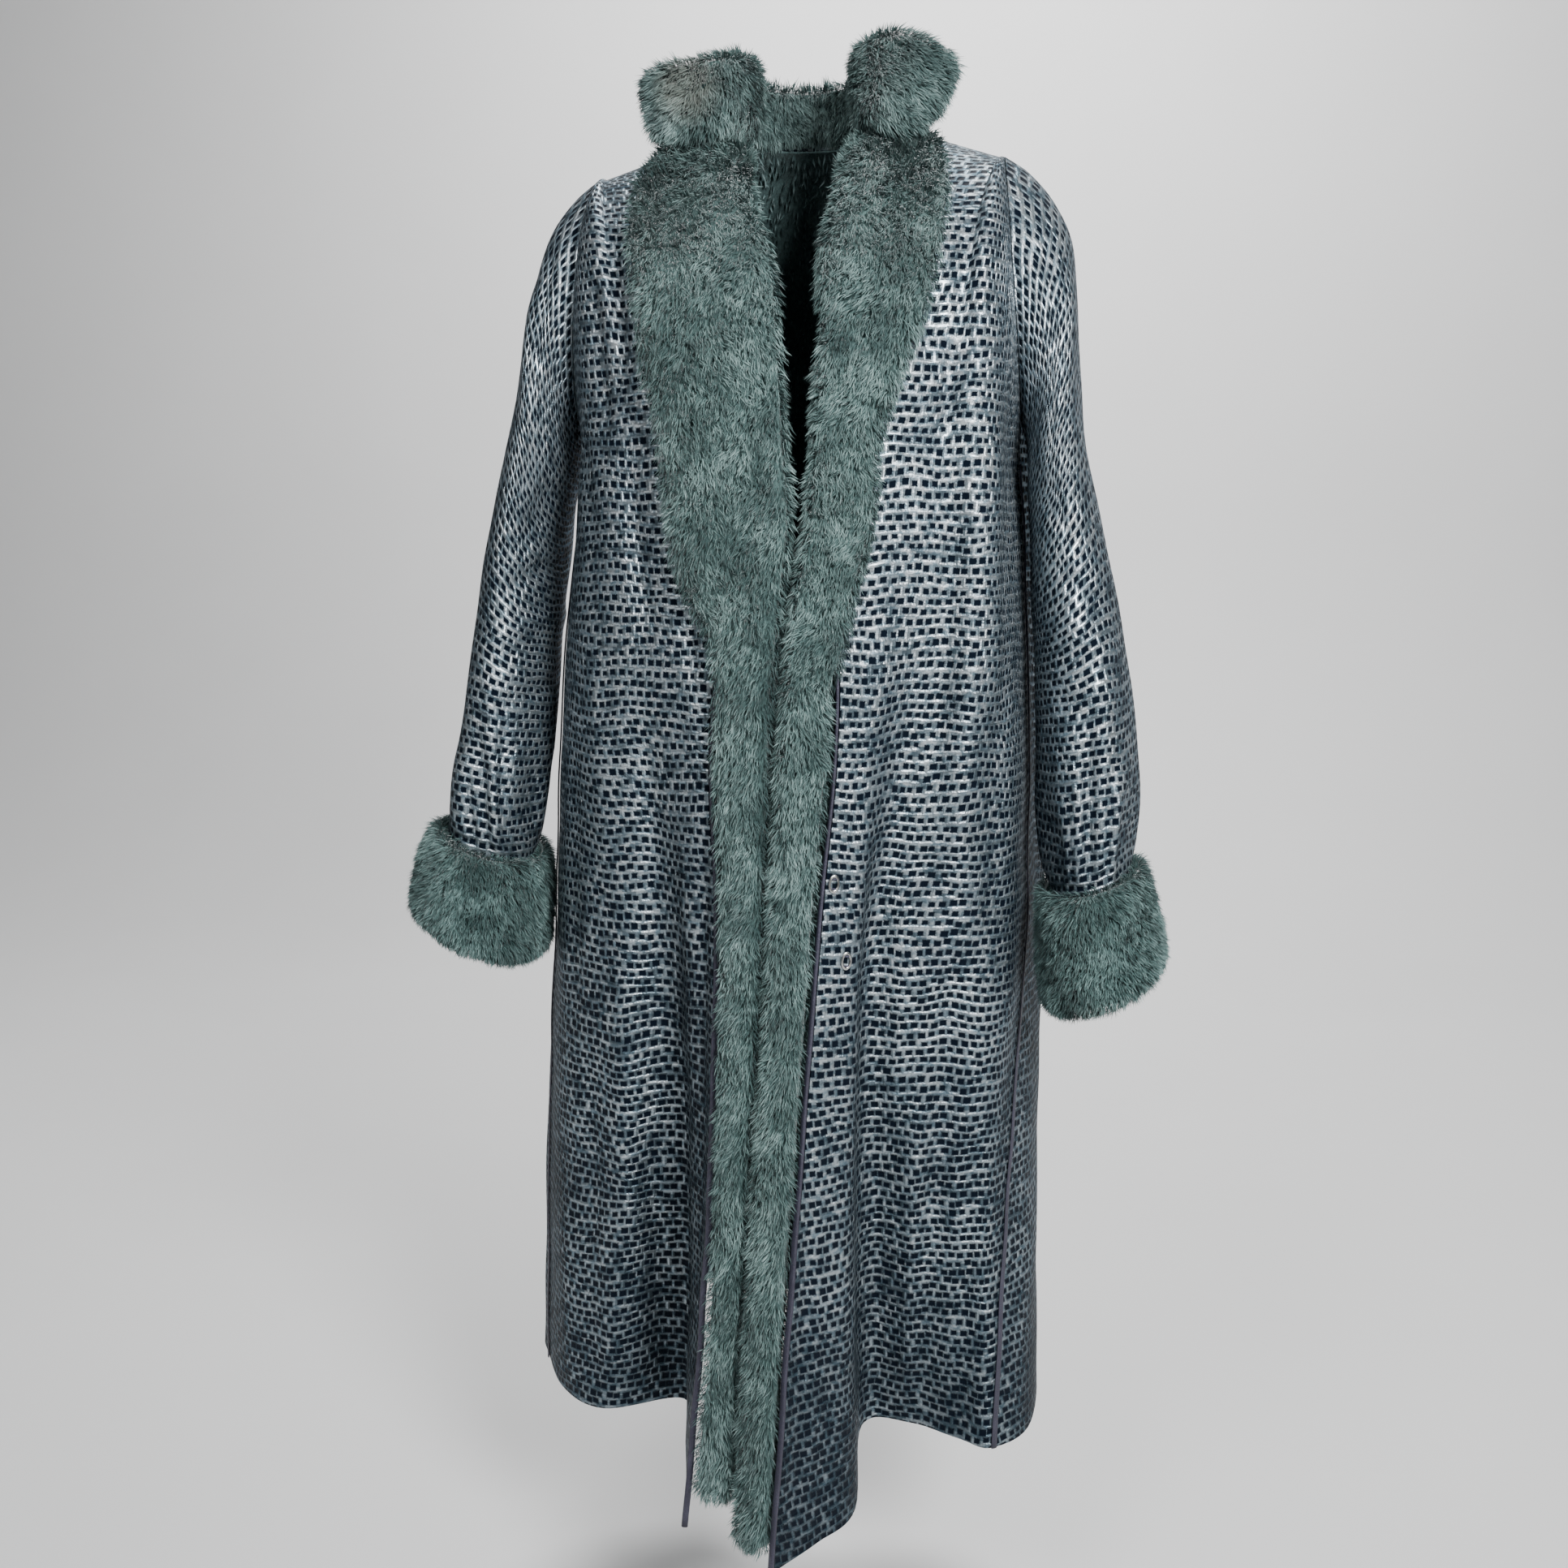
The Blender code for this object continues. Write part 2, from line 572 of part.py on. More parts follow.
def make_fur_front(name, surface, normals, strips, finish):
    """A lapel and front border in one strip of fur."""
    ridge = line_column(LEFT_LINES, "ridge")
    rings = fur_rings(surface[1:], normals[1:], strips, ridge)
    last = strips[-1].height * MM + FOOT_ROUND
    rings = rings[rings[:, :, 2].mean(axis=1) > last + FOOT_STRAIGHT]
    foot = rings[-1].copy()
    foot[:, 2] = last
    end = end_ring(foot, (0, 0, -FOOT_ROUND))
    return loft(name, np.concatenate([rings, [foot], [end]]), finish)


def make_binding(name, surface, normals, finish):
    """A leather binding that carries on the cloth at its front edge."""
    edge = surface[BINDING_FIRST_ROW:, 0]
    away = unit(edge - surface[BINDING_FIRST_ROW:, 1])
    out = normals[BINDING_FIRST_ROW:, 0]
    rings = []
    for along, depth in ((BINDING_GAP, 1), (BINDING_WIDTH, 1), (BINDING_WIDTH, -1), (BINDING_GAP, -1)):
        middle = edge - out * CLOTH / 2
        rings.append(middle + away * along + out * depth * BINDING_THICKNESS / 2)
    return loft(name, np.stack(rings, axis=1), finish)


def make_welt(name, surface, normals, column, finish):
    """A raised leather strip over a side seam, made from the cloth's points, moved out."""
    below = slice(WELT_FIRST_ROW, None)
    seam, out = surface[below, column], normals[below, column]
    before = seam + unit(surface[below, column - 1] - seam) * WELT_HALF_WIDTH
    after = seam + unit(surface[below, column + 1] - seam) * WELT_HALF_WIDTH
    low, high = WELT_GAP, WELT_GAP + WELT_THICKNESS
    rings = [before + out * low, seam + out * low, after + out * low,
             after + out * high, seam + out * high, before + out * high]
    return loft(name, np.stack(rings, axis=1), finish)


def make_collar(finish):
    """A standing collar whose front ends turn out as wings."""
    knots = range(len(COLLAR))
    steps = np.linspace(0, len(COLLAR) - 1, (len(COLLAR) - 1) * COLLAR_STEPS + 1)
    table = spline(knots, [list(station) for station in COLLAR], steps) * MM
    path = table[:, :2]
    along = unit(np.gradient(path, axis=0))
    outward = np.stack([along[:, 1], -along[:, 0]], axis=1)
    turn = np.linspace(0, 2 * pi, COLLAR_SEGMENTS, endpoint=False)
    up = 0.5 + 0.5 * rounded(np.sin(turn))
    side = 0.5 * rounded(np.cos(turn))
    rings = []
    for (x, y, foot, height, thickness, lean), out in zip(table, outward):
        aside = side * thickness + up * lean
        rings.append(np.stack([x + out[0] * aside, y + out[1] * aside, foot + up * height], axis=1))
    first = end_ring(rings[0], (rings[0] - rings[1]).mean(axis=0) * COLLAR_END)
    last = end_ring(rings[-1], (rings[-1] - rings[-2]).mean(axis=0) * COLLAR_END)
    return loft("collar", np.array([first] + rings + [last]), finish)


def make_hook(hook, surface, normals, finish):
    """An oval wire eye that lies on the left front by its edge."""
    row = int(np.argmin(np.abs(surface[:, 0, 2] - hook.height * MM)))
    share = hook.inset * MM / np.linalg.norm(surface[row, 1] - surface[row, 0])
    above, here, below = (row_at(surface[row + step], np.array([share]))[0] for step in (-1, 0, 1))
    nearer, farther = (above, here) if here[2] < hook.height * MM else (here, below)
    middle = nearer + (farther - nearer) * (nearer[2] - hook.height * MM) / (nearer[2] - farther[2])
    out = row_at(normals[row], np.array([share]))[0]
    down = unit(farther - nearer)
    across = np.cross(out, down)
    around = np.linspace(0, 2 * pi, HOOK_STATIONS, endpoint=False)[:, None, None]
    section = np.linspace(0, 2 * pi, HOOK_SIDES, endpoint=False)[None, :, None]
    spread = 1 + HOOK_WIRE * np.cos(section) / (HOOK_WIDTH / 2)
    flat = across * np.cos(around) * HOOK_WIDTH / 2 + down * np.sin(around) * HOOK_LENGTH / 2
    flat = flat * spread
    rise = out * (HOOK_WIRE * (HOOK_RISE + np.sin(section)))
    return loft(hook.name, middle + flat + rise, finish, looped=True)


def build():
    """Every piece of the coat."""
    for old in list(bpy.data.objects):
        bpy.data.objects.remove(old, do_unlink=True)
    cloth = material("patterned_cloth", (0.30, 0.36, 0.42), 0.38, 0.55)
    fur = material("teal_fur", (0.115, 0.205, 0.195), 0.85, 0.0)
    leather = material("dark_leather", (0.035, 0.033, 0.055), 0.5, 0.0)
    steel = material("bright_steel", (0.62, 0.63, 0.64), 0.25, 1.0)
    surface = body_surface()
    normals = surface_normals(surface)
    make_panels(surface, normals, cloth, fur)
    make_sleeve("sleeve_left", LEFT_SLEEVE, LEFT_SHOULDER, cloth)
    make_sleeve("sleeve_right", RIGHT_SLEEVE, RIGHT_SHOULDER, cloth)
    make_cuff("cuff_left", LEFT_CUFF, fur)
    make_cuff("cuff_right", RIGHT_CUFF, fur)
    make_collar(fur)
    mirrored, mirrored_out = surface[:, ::-1], normals[:, ::-1]
    make_fur_front("fur_front_left", surface, normals, LEFT_FUR, fur)
    make_fur_front("fur_front_right", mirrored, mirrored_out, RIGHT_FUR, fur)
    make_binding("binding_left", surface, normals, leather)
    make_binding("binding_right", mirrored, mirrored_out, leather)
    seam = line_column(LEFT_LINES, "seam")
    make_welt("welt_left", surface, normals, seam, leather)
    make_welt("welt_right", surface, normals, surface.shape[1] - seam - 1, leather)
    for hook in HOOKS:
        make_hook(hook, surface, normals, steel)


build()
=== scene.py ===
"""Looks of a long overcoat with fur collar wings, fur fronts and fur cuffs.

Laid out as a Blender add-on and run as a script.  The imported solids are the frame;
every piece here is worked out from the same tables as the solids, more finely, and
gets its pattern, fur, creases and leather.  Metres, +Z up, the front faces -Y and
+X is the wearer's left.
"""
from collections import namedtuple
from math import cos, pi, radians, sin

import bpy
import numpy as np
from mathutils import Matrix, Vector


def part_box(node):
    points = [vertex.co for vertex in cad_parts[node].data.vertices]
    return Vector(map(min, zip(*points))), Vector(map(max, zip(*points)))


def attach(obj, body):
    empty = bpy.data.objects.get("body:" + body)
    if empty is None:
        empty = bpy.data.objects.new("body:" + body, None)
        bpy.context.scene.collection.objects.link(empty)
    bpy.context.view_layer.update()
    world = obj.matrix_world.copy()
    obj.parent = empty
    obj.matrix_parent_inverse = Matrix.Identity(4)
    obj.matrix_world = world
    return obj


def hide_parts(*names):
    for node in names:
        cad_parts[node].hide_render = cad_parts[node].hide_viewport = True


bl_info = {
    "name": "Fur-fronted overcoat",
    "version": (1, 0, 0),
    "blender": (4, 5, 0),
    "location": "View3D > Sidebar > Overcoat",
    "description": "A long patterned overcoat with fur collar, fronts, lining and cuffs",
    "category": "Object",
}

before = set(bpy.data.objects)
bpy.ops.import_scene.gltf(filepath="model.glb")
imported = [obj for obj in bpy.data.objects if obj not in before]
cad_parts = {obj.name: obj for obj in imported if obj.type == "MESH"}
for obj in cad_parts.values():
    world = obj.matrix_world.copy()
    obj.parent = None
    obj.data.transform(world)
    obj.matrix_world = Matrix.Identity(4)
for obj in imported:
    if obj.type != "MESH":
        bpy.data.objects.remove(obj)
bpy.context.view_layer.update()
MM = 0.001

# ---- sizes shared with the solids, in metres
SEAM_GAP = 0.0003
CLOTH = 0.003
LINING_FUR = 0.006
LINING_GAP = 0.0009
SLEEVE_GAP = 0.0007
CUFF_BORE = 0.0006
HEM_HEIGHT = -1.205
BINDING_GAP = 0.0009
BINDING_WIDTH = 0.0047
BINDING_THICKNESS = 0.006
WELT_GAP = 0.0006
WELT_HALF_WIDTH = 0.003
WELT_THICKNESS = 0.0016

# ---- fineness of the grids
FINE_SHOULDER = 24
FINE_SKIRT = 104
FINE_COLUMNS = 4
FINE_SLEEVE = 96
FINE_ALONG = 6
FINE_FUR = 40
CUFF_SEGMENTS = 96
# How many of the body's lowest rows have no lining.
LINING_SHORT_ROWS = 3
BUST, RIB, HIP, KNEE = -0.260, -0.460, -0.700, -0.950

# One row for each fold line, from the front edge round to the centre back:
# x, y in mm at each height, the hem's rise in mm and the columns up to the next line.
Line = namedtuple("Line", "name bust rib hip knee hem rise columns")
LEFT_LINES = (
    Line("edge", (30, -140), (53, -163), (39, -184), (24, -207), (7, -236), -38, 2),
    Line("roll", (54, -143), (67, -160), (56, -174), (46, -187), (40, -196), -35, 2),
    Line("ridge", (84, -142), (84, -153), (71, -161), (67, -162), (71, -152), -29, 2),
    Line("valley", (134, -124), (116, -128), (79, -118), (70, -97), (69, -62), -2, 3),
    Line("panel", (160, -118), (165, -122), (150, -110), (130, -88), (118, -54), 0, 2),
    Line("front_side", (184, -82), (196, -82), (198, -80), (180, -80), (165, -76), 0, 2),
    Line("seam", (197, 0), (209, -4), (214, -18), (203, -50), (196, -82), -1, 2),
    Line("side", (195, 48), (213, 45), (224, 38), (228, 5), (233, -35), 0, 2),
    Line("back_side", (208, 87), (223, 94), (231, 98), (229, 97), (235, 92), 0, 3),
    Line("blade", (140, 118), (150, 122), (160, 138), (170, 158), (182, 168), 0, 2),
    Line("back_fold", (76, 132), (80, 135), (85, 160), (90, 186), (95, 214), 0, 2),
)
RIGHT_LINES = (
    Line("edge", (0, -142), (-55, -156), (-56, -164), (-62, -179), (-83, -191), -32, 2),
    Line("roll", (-44, -145), (-72, -156), (-68, -156), (-73, -152), (-91, -144), -27, 2),
    Line("ridge", (-94, -142), (-90, -150), (-84, -144), (-87, -120), (-102, -92), -16, 2),
    Line("valley", (-128, -130), (-118, -140), (-104, -122), (-103, -82), (-114, -40), -3, 3),
    Line("panel", (-158, -116), (-158, -125), (-156, -118), (-166, -98), (-188, -72), 0, 2),
    Line("front_side", (-186, -82), (-200, -85), (-212, -80), (-224, -64), (-238, -42), 0, 2),
    Line("seam", (-201, 0), (-229, 0), (-243, -2), (-260, 8), (-270, 14), 0, 2),
    Line("side", (-197, 48), (-232, 45), (-252, 48), (-274, 58), (-286, 62), 0, 2),
    Line("back_side", (-178, 93), (-205, 95), (-226, 104), (-245, 120), (-262, 132), 0, 3),
    Line("blade", (-140, 118), (-152, 122), (-166, 142), (-180, 165), (-196, 180), 0, 2),
    Line("back_fold", (-76, 132), (-80, 135), (-86, 162), (-92, 189), (-98, 212), 0, 2),
)
CENTRE_LINE = Line("centre", (2, 126), (2, 124), (2, 146), (2, 162), (0, 176), 0, 2)

# Heights over which the cloth turns from the top of each line to its hang, in mm, the
# angle below level at which it leaves, the power by which it moves sideways (less than
# one is sooner), and the armhole's angle there, in degrees from its top to the front.
Start = namedtuple("Start", "name turn slope lead armhole")
STARTS = (
    Start("edge", 140, 25, 1, None), Start("roll", 175, 25, 1, None),
    Start("ridge", 175, 25, 1, None), Start("valley", 165, 8, 0.6, 0),
    Start("panel", 130, 0, 0.6, 42), Start("front_side", 80, 0, 1, 95),
    Start("seam", 45, 0, 1, 180), Start("side", 45, 0, 1, 210),
    Start("back_side", 80, 0, 1, 268), Start("blade", 165, 8, 0.6, 360),
    Start("back_fold", 175, 20, 1, None), Start("centre", 150, 20, 1, None),
)

# Neck and shoulder of each side, in mm.  The armhole is an ellipse that leans a little.
Shoulder = namedtuple("Shoulder", "front_neck side_neck armhole_top armhole_foot half_depth")
LEFT_SHOULDER = Shoulder((62, -34, -20), (76, 3, 12), (178, 3, -19), (199, 8, -250), 76)
RIGHT_SHOULDER = Shoulder((-52, -34, -22), (-74, 3, 8), (-182, 3, -27), (-205, 8, -252), 76)
BACK_NECK = (2, 58, 8)

# Sleeve rings from the armhole to the wrist: the outer and the inner point (x, z),
# the ring's middle and half depth in y, and the depth of the gathers, in mm.
Ring = namedtuple("Ring", "outer inner middle depth gather")
LEFT_SLEEVE = (
    Ring((200, -33), (202, -258), 4, 79, 0),
    Ring((222, -57), (204, -268), 3, 81, 0),
    Ring((238, -92), (205.5, -284), 2, 82, 0),
    Ring((245, -142), (206, -308), 0, 82, 0),
    Ring((249, -205), (208, -340), -1, 80, 0),
    Ring((257, -268), (210, -374), -3, 79, 0),
    Ring((272, -335), (212.5, -412), -6, 78, 0),
    Ring((288, -400), (215, -452), -10, 78, 0),
    Ring((300, -462), (217.5, -497), -16, 78, 1),
    Ring((308, -525), (220, -545), -24, 77, 2),
    Ring((311, -572), (222.5, -590), -31, 75, 5),
    Ring((310, -618), (227, -640), -37, 68, 4),
    Ring((307.2, -648), (236.7, -668), -40.5, 60.3, 0),
    Ring((311.9, -676), (240.8, -696), -42.4, 60.3, 0),
)
RIGHT_SLEEVE = (
    Ring((-204, -43), (-208.5, -260), 4, 79, 0),
    Ring((-222, -66), (-211, -270), 3, 81, 0),
    Ring((-237, -104), (-213, -286), 2, 82, 0),
    Ring((-248, -152), (-218, -308), 0, 82, 0),
    Ring((-259, -203), (-224, -338), -1, 80, 0),
    Ring((-273, -262), (-229, -372), -3, 79, 0),
    Ring((-289, -332), (-234, -410), -6, 78, 0),
    Ring((-301, -398), (-236, -450), -10, 78, 0),
    Ring((-312, -460), (-237, -495), -16, 78, 1),
    Ring((-322, -520), (-240, -543), -22, 77, 2),
    Ring((-331, -564), (-244, -588), -27, 75, 5),
    Ring((-335, -600), (-249, -628), -31, 68, 4),
    Ring((-337, -628), (-258.7, -652), -33.6, 60.3, 0),
    Ring((-343.4, -658), (-262.1, -682), -35.8, 60.3, 0),
)
GATHERS = 6
# Columns whose top lies farther out than this start at the armhole.
ARMHOLE_FROM = 0.1775

# Cuffs: bore at the upper and the lower rim as sleeve rings, and the fur's thickness there.
Cuff = namedtuple("Cuff", "upper lower upper_fur lower_fur")
LEFT_CUFF = Cuff(Ring((306.5, -640), (235, -662), -40, 61, 0),
                 Ring((323, -738), (251, -772), -47, 61, 0), 15, 24)
RIGHT_CUFF = Cuff(Ring((-336, -620), (-257.5, -648), -33, 61, 0),
                  Ring((-354, -704), (-268, -745), -40, 61, 0), 19, 26)

# Fur fronts from the neck down: height, the free inner edge (x, y), the cover over the
# cloth beyond its front edge as a share of the way to the ridge line, how far the back of
# the fur stands before the cloth, and the thickness.
Strip = namedtuple("Strip", "height inner cover proud thickness")
LEFT_FUR = (
    Strip(0, (60, -38), 0.75, 5.5, 6), Strip(-60, (54, -100), 1.15, 5, 13),
    Strip(-140, (41, -130), 1.20, 3, 19), Strip(-260, (25, -148), 1.00, 1.8, 22),
    Strip(-330, (20, -157), 0.90, 1.5, 23), Strip(-400, (11, -164), 0.50, 1.8, 24),
    Strip(-470, (6, -170), 0, 1.8, 25), Strip(-540, (1, -175), 0, -6, 26),
    Strip(-620, (-4, -176), 0, -13, 27), Strip(-700, (-7, -178), 0, -13.5, 27),
    Strip(-850, (-14, -186), 0, -14, 28), Strip(-1000, (-21, -194), 0, -14, 28),
    Strip(-1232, (-29, -205), 0, -13.5, 27),
)
RIGHT_FUR = (
    Strip(0, (-47, -38), 0.70, 6, 6), Strip(-60, (-31, -100), 1.10, 5.5, 13),
    Strip(-140, (-9, -130), 1.15, 3, 19), Strip(-260, (9, -148), 1.05, 1.8, 22),
    Strip(-330, (16, -158), 0.98, 1.5, 23), Strip(-400, (9.5, -164), 0.60, 1.8, 24),
    Strip(-470, (4, -169), 0, 1.8, 25), Strip(-540, (-1, -173), 0, -6, 26),
    Strip(-620, (-6, -175), 0, -13, 27), Strip(-700, (-9, -176), 0, -13.5, 27),
    Strip(-850, (-16, -182), 0, -14, 28), Strip(-1000, (-23, -187), 0, -14, 28),
    Strip(-1203, (-31, -192), 0, -13.5, 27),
)
FUR_ROUNDNESS = 2.8
STRIP_SEAM = 0.0068

# Collar stations from the wearer's right wing tip round the back to the left one:
# x, y of the wall's middle, its foot and its height, thickness and outward lean, in mm.
Station = namedtuple("Station", "x y foot height thickness lean")
COLLAR = (
    Station(-122, -68, 14, 29, 13, 3),
    Station(-114, -75, -10, 56, 19, 2),
    Station(-98, -84, -16, 64, 21, 2),
    Station(-76, -88, -17, 66, 22, 0),
    Station(-54, -80, -11, 66, 22, 0),
    Station(-42, -57, -8, 64, 22, 2),
    Station(-50, -24, 2, 60, 20, 4),
    Station(-60, 8, 8, 56, 20, 6),
    Station(-48, 44, 8.1, 53, 20, 8),
    Station(2, 64, 8.4, 51, 20, 9),
    Station(52, 44, 9.5, 53, 20, 8),
    Station(64, 8, 11.4, 57, 20, 6),
    Station(62, -24, 6, 62, 20, 4),
    Station(62, -54, -2.5, 64, 22, 2),
    Station(70, -80, -9, 70, 22, 0),
    Station(86, -88, -15, 80, 22, 0),
    Station(105, -84, -14, 75, 22, 2),
    Station(120, -75, 2, 52, 20, 3),
    Station(131, -68, 25, 21, 13, 4),
)


# ---- creases pressed into the cloth: ends (x, z), half width and depth in mm; a ridge is
# positive.  Front creases show from the front, back ones from behind.  Those of a sleeve
# are for the wearer's left one and are mirrored for the right one.  All depths are
# multiplied by the strength.
Crease = namedtuple("Crease", "x1 z1 x2 z2 width depth")
CREASE_STRENGTH = 1.6
# Over how many metres the creases fade in below the top edge and towards the sides.
TOP_FADE = 0.05
SIDE_FADE = 0.03
# How far the cloth swells and sinks between the creases, in metres.
UNEVEN_BODY = 0.0011
UNEVEN_SLEEVE = 0.0012
FRONT_CREASES = (
    Crease(123, -140, 122, -208, 5, -3.4), Crease(139, -190, 137, -262, 5.5, -3.4),
    Crease(152, -88, 147, -172, 6, -2.2), Crease(167, -150, 173, -420, 12, 3.2),
    Crease(190, -230, 196, -520, 8, -4.0), Crease(148, -300, 132, -560, 10, -3.2),
    Crease(165, -430, 150, -640, 12, 2.4), Crease(186, -470, 182, -700, 9, -2.2),
    Crease(104, -640, 98, -900, 10, 2.2), Crease(150, -720, 136, -1010, 13, -3.2),
    Crease(118, -860, 112, -1190, 11, 2.6), Crease(172, -900, 163, -1200, 12, -2.6),
    Crease(84, -900, 80, -1200, 8, -2.0), Crease(34, -900, 22, -1200, 7, -1.6),
    Crease(-99, -270, -70, -470, 7, -2.6), Crease(-65, -600, -79, -1100, 7, -2.8),
    Crease(-118, -150, -108, -236, 6, -2.4), Crease(-146, -100, -135, -205, 7, -2.6),
    Crease(-166, -130, -154, -262, 7, -2.8), Crease(-182, -262, -170, -352, 6, -2.0),
    Crease(-132, -300, -116, -430, 8, -2.0), Crease(-176, -420, -160, -640, 11, 2.2),
    Crease(-120, -520, -112, -820, 12, -2.4), Crease(-198, -520, -205, -800, 9, -2.4),
    Crease(-150, -700, -156, -1010, 13, 2.8), Crease(-188, -830, -200, -1180, 12, -3.0),
    Crease(-128, -900, -134, -1195, 10, -2.4), Crease(-222, -980, -230, -1190, 9, 2.0),
)
BACK_CREASES = (
    Crease(-60, -70, -76, -190, 9, -2.0), Crease(52, -66, 70, -170, 8, -2.2),
    Crease(-120, -150, -96, -330, 10, -2.6), Crease(124, -160, 102, -370, 9, -2.4),
    Crease(8, -260, 4, -600, 13, -2.2), Crease(-150, -360, -158, -600, 10, 2.4),
    Crease(148, -420, 152, -700, 11, 2.2), Crease(-46, -560, -52, -930, 12, 2.8),
    Crease(40, -640, 50, -1130, 14, -3.4), Crease(-118, -720, -130, -1180, 13, -3.2),
    Crease(118, -780, 132, -1190, 12, 3.0), Crease(-190, -800, -206, -1150, 10, -2.6),
    Crease(186, -820, 194, -1180, 11, -2.8), Crease(-14, -900, -20, -1190, 11, -2.4),
)
SLEEVE_CREASES = (
    Crease(215, -96, 226, -196, 6, -2.2), Crease(236, -130, 238, -262, 7, 1.8),
    Crease(222, -300, 246, -362, 7, -2.4), Crease(228, -372, 262, -398, 6, -2.6),
    Crease(236, -420, 284, -450, 8, 2.0), Crease(232, -480, 268, -506, 6, -2.4),
    Crease(262, -520, 266, -640, 5, -3.4), Crease(246, -560, 250, -656, 5, -2.6),
    Crease(284, -540, 281, -648, 5, -3.0), Crease(298, -566, 294, -640, 4, -2.4),
    Crease(236, -590, 243, -660, 4, -2.2), Crease(274, -470, 276, -560, 7, 1.8),
)


def spline(knots, values, at):
    """Cubic through the values: each knot's slope is that of its neighbours."""
    knots = np.asarray(knots, float)
    values = np.asarray(values, float)
    at = np.clip(np.asarray(at, float), knots[0], knots[-1])
    slopes = np.gradient(values, knots, axis=0)
    low = np.clip(np.searchsorted(knots, at, side="right") - 1, 0, len(knots) - 2)
    step = knots[low + 1] - knots[low]
    share = (at - knots[low]) / step
    if values.ndim > 1:
        share = share[..., None]
        step = step[..., None]
    square, cube = share ** 2, share ** 3
    return ((2 * cube - 3 * square + 1) * values[low]
            + (cube - 2 * square + share) * step * slopes[low]
            + (3 * square - 2 * cube) * values[low + 1]
            + (cube - square) * step * slopes[low + 1])


def unit(vectors):
    """Vectors of length one."""
    return vectors / np.maximum(np.linalg.norm(vectors, axis=-1, keepdims=True), 1e-12)


def smooth(share):
    """0 to 1 with level ends: 3s^2 - 2s^3."""
    share = np.clip(share, 0, 1)
    return share * share * (3 - 2 * share)


def rounded(share):
    """A superellipse's coordinate for a circle's."""
    return np.sign(share) * np.abs(share) ** (2 / FUR_ROUNDNESS)


def armhole(shoulder, degrees):
    """Ellipse of the armhole: middle + cos t (top - foot) / 2 + sin t half depth forward."""
    top, foot = np.array(shoulder.armhole_top), np.array(shoulder.armhole_foot)
    turn = np.radians(np.asarray(degrees, float))[..., None]
    forward = np.array((0, -shoulder.half_depth, 0))
    return ((top + foot) / 2 + np.cos(turn) * (top - foot) / 2 + np.sin(turn) * forward) * MM


def top_points(shoulder, places):
    """The upper edge of the body: neck, shoulder seam, armhole, shoulder seam, back neck."""
    starts = [index for index, start in enumerate(STARTS) if start.armhole is not None]
    first, last = starts[0], starts[-1]
    angles = spline(starts, [STARTS[index].armhole for index in starts], places)
    front_neck = np.array(shoulder.front_neck) * MM
    side_neck = np.array(shoulder.side_neck) * MM
    tip = np.array(shoulder.armhole_top) * MM
    back_neck = np.array(BACK_NECK) * MM
    place = np.asarray(places)[:, None]
    turn = pi / 2 * np.clip(place, 0, 1)
    bend = np.hstack([1 - np.cos(turn), np.sin(turn), np.sin(turn)])
    neck = front_neck + (side_neck - front_neck) * bend
    seam = side_neck + (tip - side_neck) * (place - 1) / (first - 1)
    back_seam = tip + (side_neck - tip) * (place - last)
    turn = pi / 2 * np.clip(place - last - 1, 0, 1)
    bend = np.hstack([1 - np.cos(turn), np.sin(turn), np.sin(turn)])
    nape = side_neck + (back_neck - side_neck) * bend
    rules = [place <= 1, place < first, place <= last, place <= last + 1]
    return np.select(rules, [neck, seam, armhole(shoulder, angles), back_seam], nape)


def body_side(lines, shoulder):
    """One side of the body, rows by columns.

    A column leaves its top point along a quarter ellipse, from its slope to upright, and
    then follows a cubic through its places at the bust, rib, hip, knee and hem.
    """
    rows = list(lines) + [CENTRE_LINE]
    knots = range(len(rows))
    places = [np.arange(line.columns * FINE_COLUMNS) / (line.columns * FINE_COLUMNS) + index
              for index, line in enumerate(lines)]
    places = np.concatenate(places + [[len(lines)]])
    tops = top_points(shoulder, places)
    turns = spline(knots, [start.turn for start in STARTS], places) * MM
    slopes = np.radians(spline(knots, [start.slope for start in STARTS], places))
    leads = spline(knots, [start.lead for start in STARTS], places)
    hems = HEM_HEIGHT + spline(knots, [row.rise for row in rows], places) * MM
    sections = np.array([[row.hem, row.knee, row.hip, row.rib, row.bust] for row in rows]) * MM
    sections = spline(knots, sections.reshape(len(rows), -1), places).reshape(len(places), 5, 2)
    grid = np.zeros((FINE_SHOULDER + FINE_SKIRT + 1, len(places), 3))
    for column, top in enumerate(tops):
        slope = slopes[column]
        angles = np.linspace(slope, pi / 2, FINE_SHOULDER + 1)
        heights = top[2] - turns[column] * (1 - np.cos(angles) / cos(slope))
        skirt = np.linspace(heights[-1], hems[column], FINE_SKIRT + 1)[1:]
        heights = np.concatenate([heights, skirt])
        hang = spline((hems[column], KNEE, HIP, RIB, BUST), sections[column], heights)
        run = max(top[2] - BUST, turns[column])
        share_x = np.clip((top[2] - heights) / run, 0, 1) ** leads[column]
        forward = (np.sin(angles) - sin(slope)) / (1 - sin(slope))
        share_y = np.concatenate([forward, np.ones(FINE_SKIRT)])
        grid[:, column, 0] = top[0] + (hang[:, 0] - top[0]) * share_x
        grid[:, column, 1] = top[1] + (hang[:, 1] - top[1]) * share_y
        grid[:, column, 2] = heights
    return grid


def grid_normals(grid, closed=False):
    """Outward normals of a grid: the cross product of its down and along slopes."""
    down = np.gradient(grid, axis=0)
    if closed:
        along = np.roll(grid, -1, axis=1) - np.roll(grid, 1, axis=1)
    else:
        along = np.gradient(grid, axis=1)
    return unit(np.cross(down, along))


